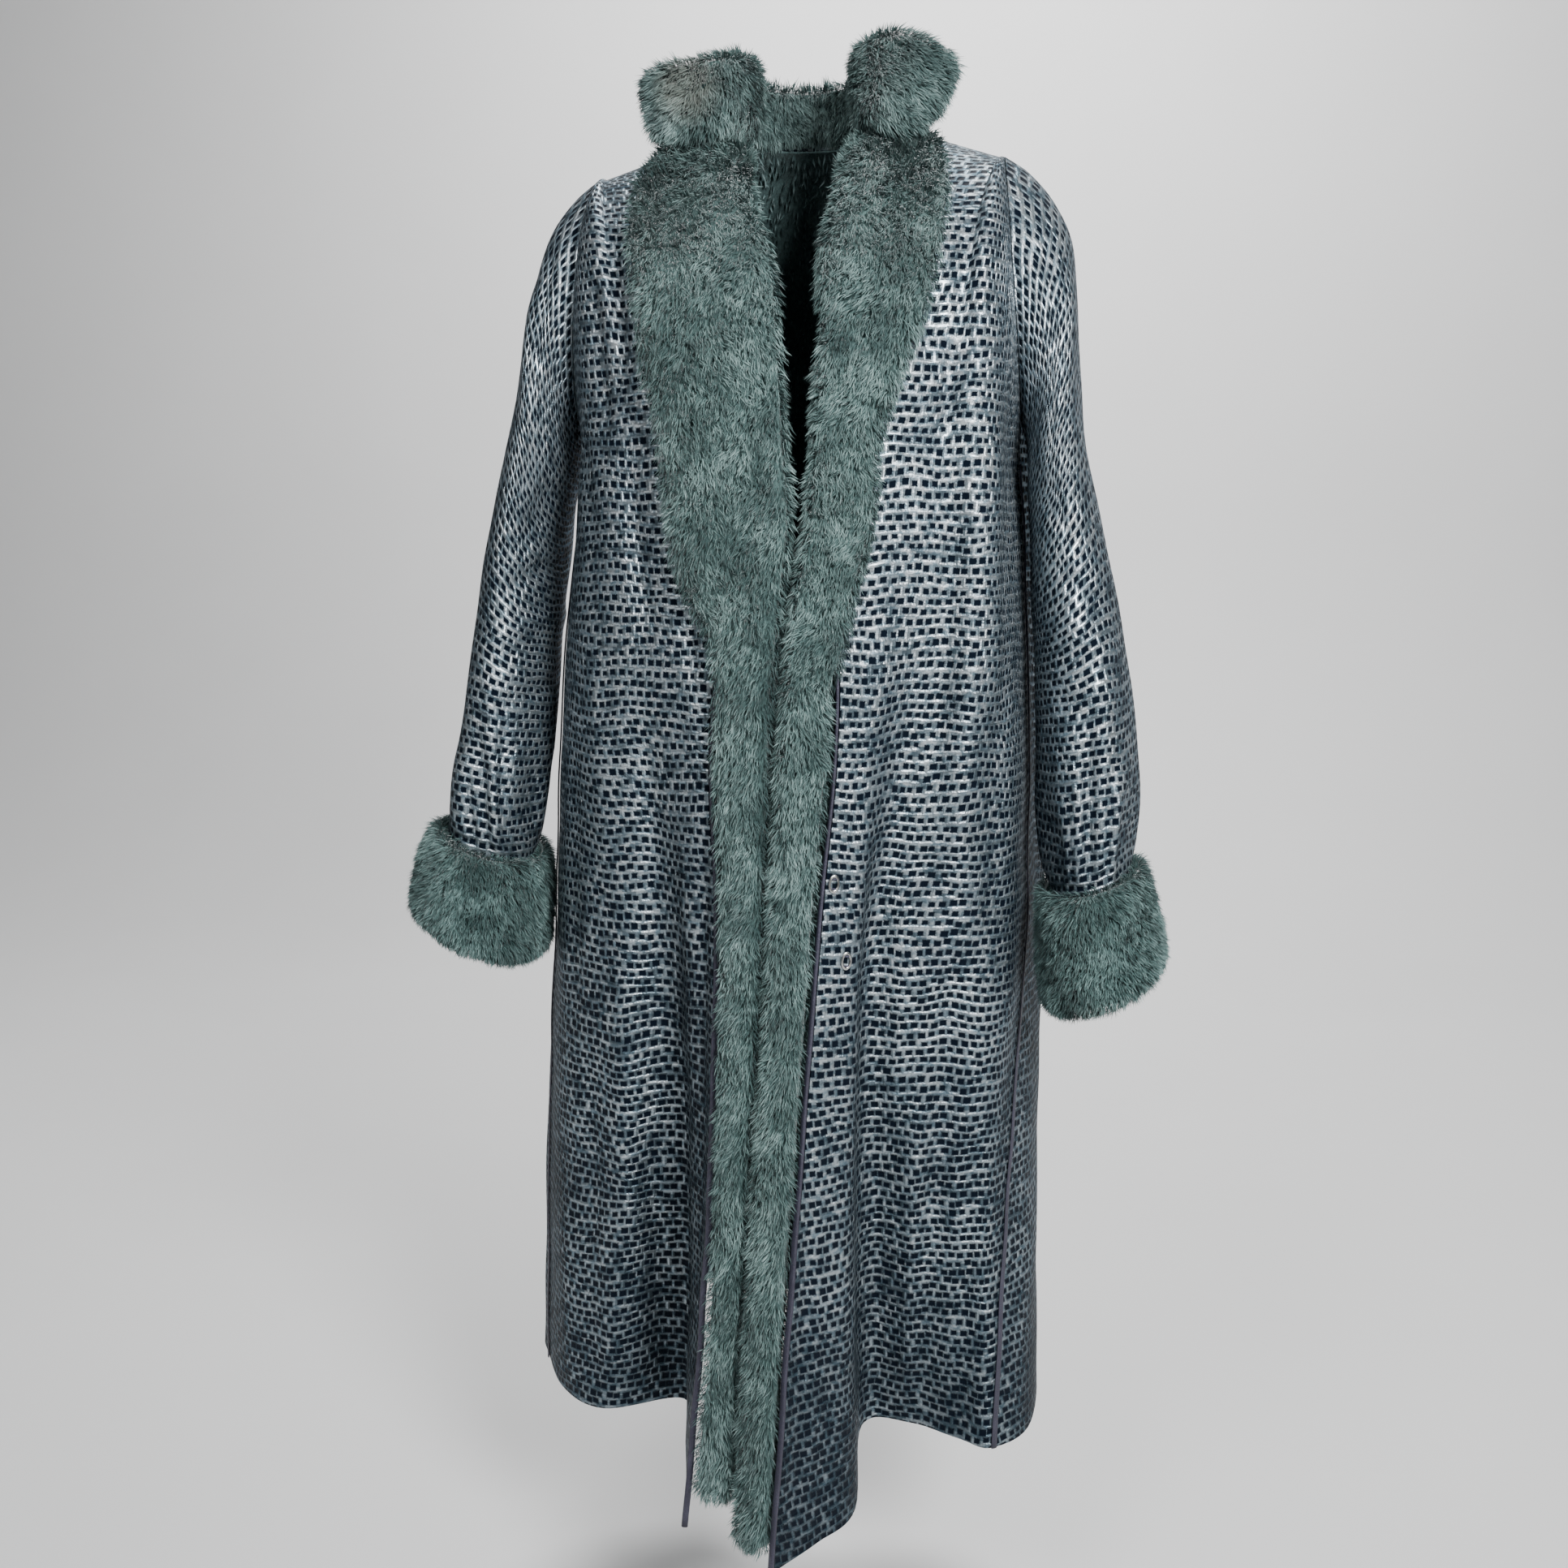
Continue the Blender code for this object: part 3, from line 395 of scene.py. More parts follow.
def softened(field, times):
    """A field averaged with its four neighbours, its rim kept."""
    for _ in range(times):
        inside = (field[1:-1, 1:-1] * 4 + field[:-2, 1:-1] + field[2:, 1:-1]
                  + field[1:-1, :-2] + field[1:-1, 2:])
        field = field.copy()
        field[1:-1, 1:-1] = inside / 8
    return field


def body_normals(grid):
    """Outward normals; those of the shoulder seams stay in the seam's upright plane."""
    normals = grid_normals(grid)
    seam = (grid[0, :, 1] < 4 * MM) & (grid[0, :, 1] > 0)
    seam &= grid[0, :, 2] > (RIGHT_SHOULDER.armhole_top[2] - 1) * MM
    at_armhole = (np.abs(grid[0, :, 0]) > ARMHOLE_FROM) & ~seam
    for row in range(3):
        normals[row, at_armhole] = normals[3, at_armhole]
    normals = unit(softened(normals, 3))
    normals[0, seam, 1] = 0
    return unit(normals)


def creased(grid, normals, creases, shown, side=1.0):
    """Moves a grid along its normals by each crease.

    The move is strength * depth * exp(-(distance to the crease's line / width)^2), fading
    to nothing at both ends; shown is where the crease may act, from 0 to 1.
    """
    places = np.stack([grid[..., 0] * side, grid[..., 2]], axis=-1)
    move = np.zeros(grid.shape[:2])
    for crease in creases:
        start = np.array((crease.x1, crease.z1)) * MM
        run = np.array((crease.x2, crease.z2)) * MM - start
        length = np.linalg.norm(run)
        share = ((places - start) @ run) / length ** 2
        foot = start + np.clip(share, 0, 1)[..., None] * run
        apart = np.linalg.norm(places - foot, axis=-1) / (crease.width * MM)
        fade = smooth((share + 0.15) / 0.35) * smooth((1.15 - share) / 0.35)
        move += CREASE_STRENGTH * crease.depth * MM * np.exp(-apart ** 2) * fade
    return grid + normals * (move * shown)[..., None]


def waves(points, scale):
    """A smooth uneven field between about -1 and 1: three crossing sines."""
    x, y, z = points[..., 0] * scale, points[..., 1] * scale, points[..., 2] * scale
    return (np.sin(x * 1.7 + 1.3 * np.sin(z * 0.9 + 0.4))
            + np.sin(z * 1.3 + 1.1 * np.sin(y * 1.1 + 2.0) + 0.7)
            + np.sin((x + y) * 0.9 - z * 0.8 + 1.9)) / 3


def coat_body():
    """The whole body surface from the left front edge round the back to the right one."""
    left = body_side(LEFT_LINES, LEFT_SHOULDER)
    right = body_side(RIGHT_LINES, RIGHT_SHOULDER)
    grid = np.concatenate([left, right[:, -2::-1]], axis=1)
    normals = body_normals(grid)
    settled = smooth((grid[0, :, 2] - grid[..., 2]) / TOP_FADE)
    front = smooth((0.01 - grid[..., 1]) / SIDE_FADE) * settled
    back = smooth((grid[..., 1] - 0.02) / SIDE_FADE) * settled
    grid = creased(grid, normals, FRONT_CREASES, front)
    grid = creased(grid, normals, BACK_CREASES, back)
    grid = grid + normals * (UNEVEN_BODY * waves(grid, 42) * settled)[..., None]
    return grid, body_normals(grid)


BODY, BODY_OUT = coat_body()
SEAM_COLUMN = sum(line.columns for line in LEFT_LINES[:6]) * FINE_COLUMNS
RIDGE_COLUMN = sum(line.columns for line in LEFT_LINES[:2]) * FINE_COLUMNS


# ---- meshes
# Edges that turn by more than this many degrees stay sharp.
SHARP = 55


def grid_faces(rows, columns, closed=False):
    """Quads of a grid and, for its UVs, the same quads on a grid one column wider."""
    across = columns if closed else columns - 1
    row, column = np.meshgrid(np.arange(rows - 1), np.arange(across), indexing="ij")
    beside = (column + 1) % columns
    quads = np.stack([row * columns + column, row * columns + beside,
                      (row + 1) * columns + beside, (row + 1) * columns + column], axis=-1)
    wide = columns + 1 if closed else columns
    corner = row * wide + column
    corners = np.stack([corner, corner + 1, corner + wide + 1, corner + wide], axis=-1)
    return quads.reshape(-1, 4), corners.reshape(-1, 4)


def add_piece(name, points, faces, finish, uvs=None, sharp=None):
    """One mesh from point and face arrays; it is turned round if its faces point inwards."""
    faces = [np.asarray(part, np.int64) for part in faces]
    uvs = None if uvs is None else [np.asarray(part, float) for part in uvs]
    volume = 0.0
    for part in faces:
        first = points[part[:, 0]]
        for step in range(1, part.shape[1] - 1):
            second, third = points[part[:, step]], points[part[:, step + 1]]
            volume += np.einsum("ij,ij->i", first, np.cross(second, third)).sum()
    if volume < 0:
        faces = [part[:, ::-1] for part in faces]
        uvs = None if uvs is None else [part[:, ::-1] for part in uvs]
    sizes = np.concatenate([np.full(len(part), part.shape[1]) for part in faces])
    corners = np.concatenate([part.ravel() for part in faces])
    mesh = bpy.data.meshes.new(name)
    mesh.vertices.add(len(points))
    mesh.vertices.foreach_set("co", points.astype(np.float32).ravel())
    mesh.loops.add(len(corners))
    mesh.loops.foreach_set("vertex_index", corners.astype(np.int32))
    mesh.polygons.add(len(sizes))
    mesh.polygons.foreach_set("loop_start", (np.cumsum(sizes) - sizes).astype(np.int32))
    if uvs is not None:
        flat = np.concatenate([part.reshape(-1, 2) for part in uvs])
        mesh.uv_layers.new(name="UVMap").data.foreach_set("uv", flat.astype(np.float32).ravel())
    mesh.update(calc_edges=True)
    mesh.shade_smooth()
    if sharp is not None:
        mesh.set_sharp_from_angle(angle=radians(sharp))
    mesh.materials.append(finish)
    piece = bpy.data.objects.new(name, mesh)
    bpy.context.scene.collection.objects.link(piece)
    return piece


def wall_piece(name, outer, inner, finish, uv):
    """A cloth wall: an outer and an inner grid joined round their rim."""
    rows, columns = outer.shape[:2]
    count = rows * columns
    quads, corners = grid_faces(rows, columns)
    border = np.concatenate([np.arange(columns), np.arange(1, rows) * columns + columns - 1,
                             (rows - 1) * columns + np.arange(columns - 2, -1, -1),
                             np.arange(rows - 2, 0, -1) * columns])
    following = np.roll(border, -1)
    rim = np.stack([following, border, border + count, following + count], axis=1)
    points = np.concatenate([outer.reshape(-1, 3), inner.reshape(-1, 3)])
    flat = uv.reshape(-1, 2)
    faces = [quads, quads[:, ::-1] + count, rim]
    uvs = [flat[corners], flat[corners[:, ::-1]], flat[rim % count]]
    return add_piece(name, points, faces, finish, uvs, sharp=SHARP)


def ring_piece(name, rings, finish, uv=None, looped=False, sharp=None):
    """A skin over closed rings, with flat ends, or looped back to the first ring."""
    count, segments = rings.shape[:2]
    points = rings.reshape(-1, 3)
    if uv is None:
        uv = ring_uv(rings)
    if looped:
        rows = np.concatenate([rings, rings[:1]])
        quads, corners = grid_faces(count + 1, segments, closed=True)
        quads = quads % (count * segments)
        flat = np.concatenate([uv, uv[-1:] + (0, 0.001)]).reshape(-1, 2)
        return add_piece(name, points, [quads], finish, [flat[corners]], sharp)
    quads, corners = grid_faces(count, segments, closed=True)
    flat = uv.reshape(-1, 2)
    first = np.arange(segments)
    beside = (first + 1) % segments
    start = np.stack([beside, first, np.full(segments, len(points))], axis=1)
    last = (count - 1) * segments
    end = np.stack([first + last, beside + last, np.full(segments, len(points) + 1)], axis=1)
    points = np.concatenate([points, [rings[0].mean(axis=0)], [rings[-1].mean(axis=0)]])
    caps = [np.tile(uv[0, 0], (segments, 3, 1)), np.tile(uv[-1, 0], (segments, 3, 1))]
    return add_piece(name, points, [quads, start, end], finish, [flat[corners]] + caps, sharp)


def ring_uv(rings):
    """Metres around each ring and along the rings, one column more than the rings have."""
    closed = np.concatenate([rings, rings[:, :1]], axis=1)
    around = np.linalg.norm(np.diff(closed, axis=1), axis=2)
    around = np.concatenate([np.zeros((len(rings), 1)), np.cumsum(around, axis=1)], axis=1)
    around -= around[:, -1:] / 2
    middles = rings.mean(axis=1)
    along = np.concatenate([[0], np.cumsum(np.linalg.norm(np.diff(middles, axis=0), axis=1))])
    return np.stack([around, np.repeat(-along[:, None], around.shape[1], axis=1)], axis=-1)


def panel_uv(grid, grain):
    """Metres of cloth: across from the grain column, and along each column from the rib."""
    across = np.linalg.norm(np.diff(grid, axis=1), axis=2)
    across = np.concatenate([np.zeros((len(grid), 1)), np.cumsum(across, axis=1)], axis=1)
    across -= across[:, grain:grain + 1]
    along = np.linalg.norm(np.diff(grid, axis=0), axis=2)
    along = np.concatenate([np.zeros((1, grid.shape[1])), np.cumsum(along, axis=0)], axis=0)
    row = np.argmin(np.abs(grid[..., 2] - RIB), axis=0)
    columns = np.arange(grid.shape[1])
    level = along[row, columns] + (grid[row, columns, 2] - RIB)
    return np.stack([across, level - along], axis=-1)


# ---- finishes
class Value:
    """A shader socket on which sums are written as Python sums."""

    def __init__(self, tree, socket):
        self.tree = tree
        self.socket = socket

    def sum(self, operation, *values, clamp=False):
        """One Math node on the given values."""
        made = self.tree.nodes.new("ShaderNodeMath")
        made.operation = operation
        made.use_clamp = clamp
        for socket, value in zip(made.inputs, values):
            if isinstance(value, Value):
                self.tree.links.new(value.socket, socket)
            else:
                socket.default_value = value
        return Value(self.tree, made.outputs[0])

    def __add__(self, other):
        return self.sum("ADD", self, other)

    __radd__ = __add__

    def __sub__(self, other):
        return self.sum("SUBTRACT", self, other)

    def __rsub__(self, other):
        return self.sum("SUBTRACT", other, self)

    def __mul__(self, other):
        return self.sum("MULTIPLY", self, other)

    __rmul__ = __mul__

    def __truediv__(self, other):
        return self.sum("DIVIDE", self, other)

    def __pow__(self, other):
        return self.sum("POWER", self, other)

    def __abs__(self):
        return self.sum("ABSOLUTE", self)

    def floor(self):
        return self.sum("FLOOR", self)

    def fraction(self):
        return self.sum("FRACT", self)

    def larger(self, other):
        return self.sum("MAXIMUM", self, other)

    def ramp(self, low, high):
        """0 at low to 1 at high, straight between and held outside."""
        return self.sum("DIVIDE", self - low, high - low, clamp=True)


class Finish:
    """A material under construction."""

    def __init__(self, name, **constants):
        self.material = bpy.data.materials.new(name)
        self.material.use_nodes = True
        self.tree = self.material.node_tree
        self.shader = self.tree.nodes["Principled BSDF"]
        for socket, value in constants.items():
            self.shader.inputs[socket.replace("_", " ")].default_value = value

    def node(self, kind, settings=None, **values):
        """A node of a kind: its settings are made first, then its sockets are set or linked."""
        made = self.tree.nodes.new("ShaderNode" + kind)
        for name, value in (settings or {}).items():
            setattr(made, name, value)
        for name, value in values.items():
            self.join(value, made.inputs[name.replace("_", " ")])
        return made

    def join(self, value, socket):
        """Link a value to a socket, or set the socket."""
        if isinstance(value, Value):
            self.tree.links.new(value.socket, socket)
        elif isinstance(value, tuple) and len(value) == 3 and socket.type == "RGBA":
            socket.default_value = (*value, 1)
        else:
            socket.default_value = value

    def out(self, node, output=0):
        return Value(self.tree, node.outputs[output])

    def place(self):
        """Object coordinates."""
        return self.out(self.node("TexCoord"), "Object")

    def cloth_place(self):
        """The piece's own UV map, in metres of cloth."""
        return self.out(self.node("UVMap", {"uv_map": "UVMap"}))

    def split(self, vector):
        """x, y and z of a vector."""
        made = self.node("SeparateXYZ", Vector=vector)
        return [self.out(made, index) for index in range(3)]

    def merge(self, x, y, z=0.0):
        return self.out(self.node("CombineXYZ", X=x, Y=y, Z=z))

    def noise(self, vector, scale, detail=2.0, rough=0.5):
        return self.out(self.node("TexNoise", Vector=vector, Scale=scale, Detail=detail,
                                  Roughness=rough))

    def random(self, vector):
        """A number from 0 to 1 that is the same all over a cell."""
        return self.out(self.node("TexWhiteNoise", {"noise_dimensions": "3D"}, Vector=vector))

    def mix(self, share, first, second):
        """A colour between two colours; a colour mix node has them on these sockets."""
        made = self.node("Mix", {"data_type": "RGBA"})
        for value, socket in ((share, 0), (first, 6), (second, 7)):
            self.join(value, made.inputs[socket])
        return self.out(made, 2)

    def stretched(self, vector, scale):
        return self.out(self.node("Mapping", Vector=vector, Scale=scale))

    def relief(self, height, distance, strength=1.0):
        """Bump the surface by a height."""
        bump = self.node("Bump", Height=height, Distance=distance, Strength=strength)
        self.tree.links.new(bump.outputs[0], self.shader.inputs["Normal"])

    def finish(self, **links):
        """Link what varies to the shader and hand the material over."""
        for name, value in links.items():
            self.join(value, self.shader.inputs[name.replace("_", " ")])
        return self.material


# The cloth's pattern, in shares of a cell: how far columns and rows drift, how unevenly a
# row steps aside, how far a square lies off the middle and how ragged it is, its half
# sizes, how much more a draw adds and how much less they are at the top of the coat.
DRIFT_ACROSS, DRIFT_DOWN, STEP_DRAW = 1.6, 1.7, 0.3
OFF_ACROSS, OFF_DOWN, RAGGED = 0.28, 0.26, 0.16
HALF_ACROSS, HALF_DOWN, SIZE_DRAW, SIZE_LESS = 0.345, 0.31, 0.10, 0.045
# Heights between which painted light rises on the cloth: towards the top its ground is painted
# lighter and its foil brighter, towards the hem both darker.
PAINTED_LIGHT_FROM, PAINTED_LIGHT_TO = -1.15, -0.25
FOIL_RELIEF = 0.0014


def cloth_finish(colours, sizes):
    """Metallic coated cloth with rows of small dark sunken squares.

    The cloth's metres are cut into cells, a half cell stepped from row to row.  A cell
    draws how large its square is and how far it lies off the middle.  Between the
    squares the foil glints unevenly.  Light and shade are painted by height: the ground
    is lighter and the foil brighter on the upper coat, both darker towards the hem.
    """
    made = Finish("patterned_cloth", IOR=1.35, Specular_Tint=(0.02, 0.04, 0.07, 1))
    metres = made.cloth_place()
    across, along, _ = made.split(metres)
    drift = made.noise(metres, 9.0, 1.0) - 0.5
    drift_up = made.noise(made.merge(across, along, 7.3), 13.0, 1.0) - 0.5
    rows = along / sizes.pitch_down + drift_up * DRIFT_DOWN
    row = rows.floor()
    step = (row * 0.5).fraction() + made.random(made.merge(row, 3.0, 1.0)) * STEP_DRAW
    columns = across / sizes.pitch_across + step + drift * DRIFT_ACROSS
    column = columns.floor()
    draw_size = made.random(made.merge(column, row, 0.5))
    draw_x = made.random(made.merge(column, row, 4.5)) - 0.5
    draw_y = made.random(made.merge(column, row, 8.5)) - 0.5
    rag = made.noise(metres, 700.0, 1.0) - 0.5
    off_x = abs(columns.fraction() - 0.5 - draw_x * OFF_ACROSS) + rag * RAGGED
    off_y = abs(rows.fraction() - 0.5 - draw_y * OFF_DOWN) + rag * RAGGED
    # Painted light by height: 0 towards the hem, 1 up the coat; it lightens the ground, brightens the
    # foil and makes the squares smaller.
    painted_height_light = made.split(made.place())[2].ramp(PAINTED_LIGHT_FROM, PAINTED_LIGHT_TO)
    spread = draw_size * SIZE_DRAW - painted_height_light * SIZE_LESS
    rim = (off_x - HALF_ACROSS - spread).larger(off_y - HALF_DOWN - spread)
    square = 1.0 - rim.ramp(-0.10, 0.06)
    between = abs(rows.fraction() - 0.5).ramp(0.24, 0.46)
    blob = made.random(made.merge((columns + 0.5).floor(), (rows + 0.5).floor(), 2.5))
    grain = made.noise(made.stretched(metres, (420, 300, 1)), 1.0, 3.0, 0.6)
    glint = made.noise(made.stretched(metres, (110, 200, 1)), 1.0, 2.0, 0.6)
    broad = made.noise(made.place(), 6.0, 3.0)
    # Random mottle, plus painted light and shade by height: the ground is painted lighter up the coat
    # and darker towards the hem.
    lightened = broad.ramp(0.28, 0.62) * 0.35 + painted_height_light * 0.65
    ground = made.mix(lightened, tuple(colours.cloth_shade), tuple(colours.cloth))
    # The foil is painted brighter up the coat by the same share, a painted highlight.
    foil = glint.ramp(0.34, 0.58) * (blob * 0.6 + between * 0.25 + 0.15) * (lightened * 0.9 + 0.1)
    ground = made.mix(foil, ground, tuple(colours.cloth_light))
    ground = made.mix(blob.ramp(0.42, 0.0) * 0.6, ground, tuple(colours.cloth_shade))
    ground = made.mix(grain.ramp(0.44, 0.24) * 0.55, ground, tuple(colours.square))
    sunken = (1.0 - rim.ramp(-0.18, 0.16)) * -1.0
    made.relief(sunken + between * 0.06 + blob * 0.24 + grain * 0.18 + glint * 0.2, FOIL_RELIEF, 0.9)
    return made.finish(Base_Color=made.mix(square, ground, tuple(colours.square)),
                       Roughness=0.28 + grain * 0.16 + square * 0.30,
                       Metallic=(foil * 0.15 + 0.8) * (1.0 - square))


def tinted(tint, *colours):
    """Colours multiplied by a tint."""
    return [tuple(part * shade for part, shade in zip(colour, tint)) for colour in colours]


def fur_finish(name, colours, tint=(1, 1, 1), patches=()):
    """Hair coloured from root to tip, lighter or darker from hair to hair and lock to lock."""
    made = Finish(name, Roughness=0.55, IOR=1.45, Sheen_Weight=0.3, Sheen_Roughness=0.4)
    tone, along, _ = made.split(made.cloth_place())
    where = made.place()
    root, middle, tip = tinted(tint, colours.fur_root, colours.fur, colours.fur_tip)
    broad = made.noise(where, 26.0, 3.0, 0.55)
    hair = made.mix(along.ramp(0.05, 0.6), root, middle)
    hair = made.mix(along.ramp(0.45, 1.0) * (tone.ramp(0.35, 0.8) * 0.85 + 0.08), hair, tip)
    hair = made.mix(tone.ramp(0.55, 0.12) * 0.8, hair, root)
    hair = made.mix(broad.ramp(0.55, 0.36) * 0.6, hair, root)
    hair = made.mix(broad.ramp(0.56, 0.72) * along * 0.35, hair, tip)
    x, y, z = made.split(where)
    # Balls of another colour mixed into the fur; the dark ones are painted shade.
    for patch in patches:
        apart = ((x - patch.x) ** 2.0 + (y - patch.y) ** 2.0 + (z - patch.z) ** 2.0) ** 0.5
        near = 1.0 - apart.ramp(patch.radius * 0.5, patch.radius)
        hair = made.mix(near * patch.share, hair, patch.colour)
    return made.finish(Base_Color=hair)


def pelt_finish(name, colours, tint=(1, 1, 1)):
    """Dense underfur between the hairs, mottled and matt."""
    made = Finish(name, Roughness=0.9, Sheen_Weight=0.3)
    where = made.place()
    root, middle = tinted(tint, colours.fur_root, colours.fur)
    fine = made.noise(made.stretched(where, (1, 1, 0.25)), 700.0, 2.0, 0.6)
    locks = made.noise(where, 60.0, 3.0, 0.6)
    colour = made.mix((fine * 0.6 + locks * 0.5).ramp(0.35, 0.75), root, middle)
    made.relief(fine * 0.6 + locks, 0.002, 0.7)
    return made.finish(Base_Color=colour)


def leather_finish(colours):
    """Dark pebbled leather, worn a little lighter on its high grain."""
    made = Finish("dark_leather", IOR=1.5)
    where = made.place()
    cells = made.node("TexVoronoi", {"feature": "DISTANCE_TO_EDGE"}, Vector=where, Scale=620.0)
    grain = made.out(cells).ramp(0.0, 0.25)
    wear = made.noise(where, 40.0, 3.0)
    base = tuple(colours.leather)
    lightened = tuple(min(1.0, part * 2.4 + 0.02) for part in base)
    colour = made.mix(grain * wear.ramp(0.45, 0.75) * 0.6, base, lightened)
    made.relief(grain, 0.0003, 0.7)
    return made.finish(Base_Color=colour, Roughness=0.42 + wear * 0.2)


def steel_finish(colours):
    """Bright wire with faint draw marks."""
    made = Finish("bright_steel", Metallic=1.0)
    where = made.place()
    marks = made.noise(made.stretched(where, (1, 1, 0.1)), 1500.0, 2.0)
    shade = tuple(part * 0.7 for part in colours.steel)
    return made.finish(Base_Color=made.mix(marks, shade, tuple(colours.steel)),
                       Roughness=0.18 + marks * 0.2)


def thread_finish(colours):
    """Twisted dark thread."""
    made = Finish("dark_thread", Roughness=0.8)
    twist = made.noise(made.place(), 1800.0, 1.0)
    base = tuple(colours.leather)
    return made.finish(Base_Color=made.mix(twist, base, tuple(part * 2 + 0.02 for part in base)))


def stage_finish():
    """Plain pale board, barely uneven."""
    made = Finish("pale_board", Roughness=0.9)
    soft = made.noise(made.place(), 3.0, 2.0)
    return made.finish(Base_Color=made.mix(soft, (0.80, 0.80, 0.80), (0.84, 0.84, 0.84)))


# ---- hair
# Number of hairs, a hair's length and width, its angle off the pelt's normal at the root
# and at the tip in degrees, a lock's size and the seed of the draws.
Coat = namedtuple("Coat", "count length width root lean lock seed")
# A ball in which the fur is mixed with another colour.
Patch = namedtuple("Patch", "x y z radius share colour")
# Painted shade: the two dark balls darken the wearer's right wing tip where it folds over and shades
# itself; the first ball mixes in a brownish colour.
WING_PATCHES = (
    Patch(-0.086, -0.095, 0.022, 0.034, 0.55, (0.20, 0.205, 0.175)),
    Patch(-0.122, -0.07, 0.03, 0.016, 0.75, (0.016, 0.03, 0.034)),
    Patch(-0.112, -0.08, 0.0, 0.018, 0.6, (0.016, 0.03, 0.034)),
)
# Painted shade: a dark ball on the underside of the left cuff's lower rim.
CUFF_SHADE_PATCHES = (Patch(0.285, -0.10, -0.775, 0.04, 0.5, (0.05, 0.05, 0.04)),)
# A turn that keeps the cells of the locks off the coat's own directions.
LOCK_TURN = np.array(((0.60, 0.48, 0.64), (-0.80, 0.36, 0.48), (0.0, -0.80, 0.60)))
# Turn about the normal in radians: the smooth swirl, from lock to lock, from hair to hair.
SWIRL, LOCK_SPREAD, HAIR_SPREAD = 0.5, 0.20, 0.26
# Sway off the lean in degrees, shares by which middle and tip go to the lock's middle,
# how deep a root is sunk and the share of the tone that a lock's hairs have in common.
SWAY = 9
PULL_MIDDLE, PULL_TIP = 0.08, 0.24
ROOT_SUNK = 0.0015
LOCK_TONE = 0.35
FRONT_HAIRS, COLLAR_HAIRS, CUFF_HAIRS = 80000, 72000, 36000


def wrapped(grid):
    """A grid of closed rings with its first column repeated at the end."""
    return np.concatenate([grid, grid[:, :1]], axis=1)


def locks(root, size):
    """Gather hairs into locks by a bent grid of cells: each hair's lock, the locks' middles."""
    shifts = [waves(root + shift, 110) for shift in (0, 0.2, 0.4)]
    bent = root + 0.5 * size * np.stack(shifts, axis=1)
    cells = np.floor(bent @ LOCK_TURN / size).astype(np.int64)
    lock = np.unique(cells @ np.array((1, 1009, 1018081)), return_inverse=True)[1]
    count = np.bincount(lock)
    middles = np.stack([np.bincount(lock, root[:, axis]) / count for axis in range(3)], axis=1)
    return lock, middles


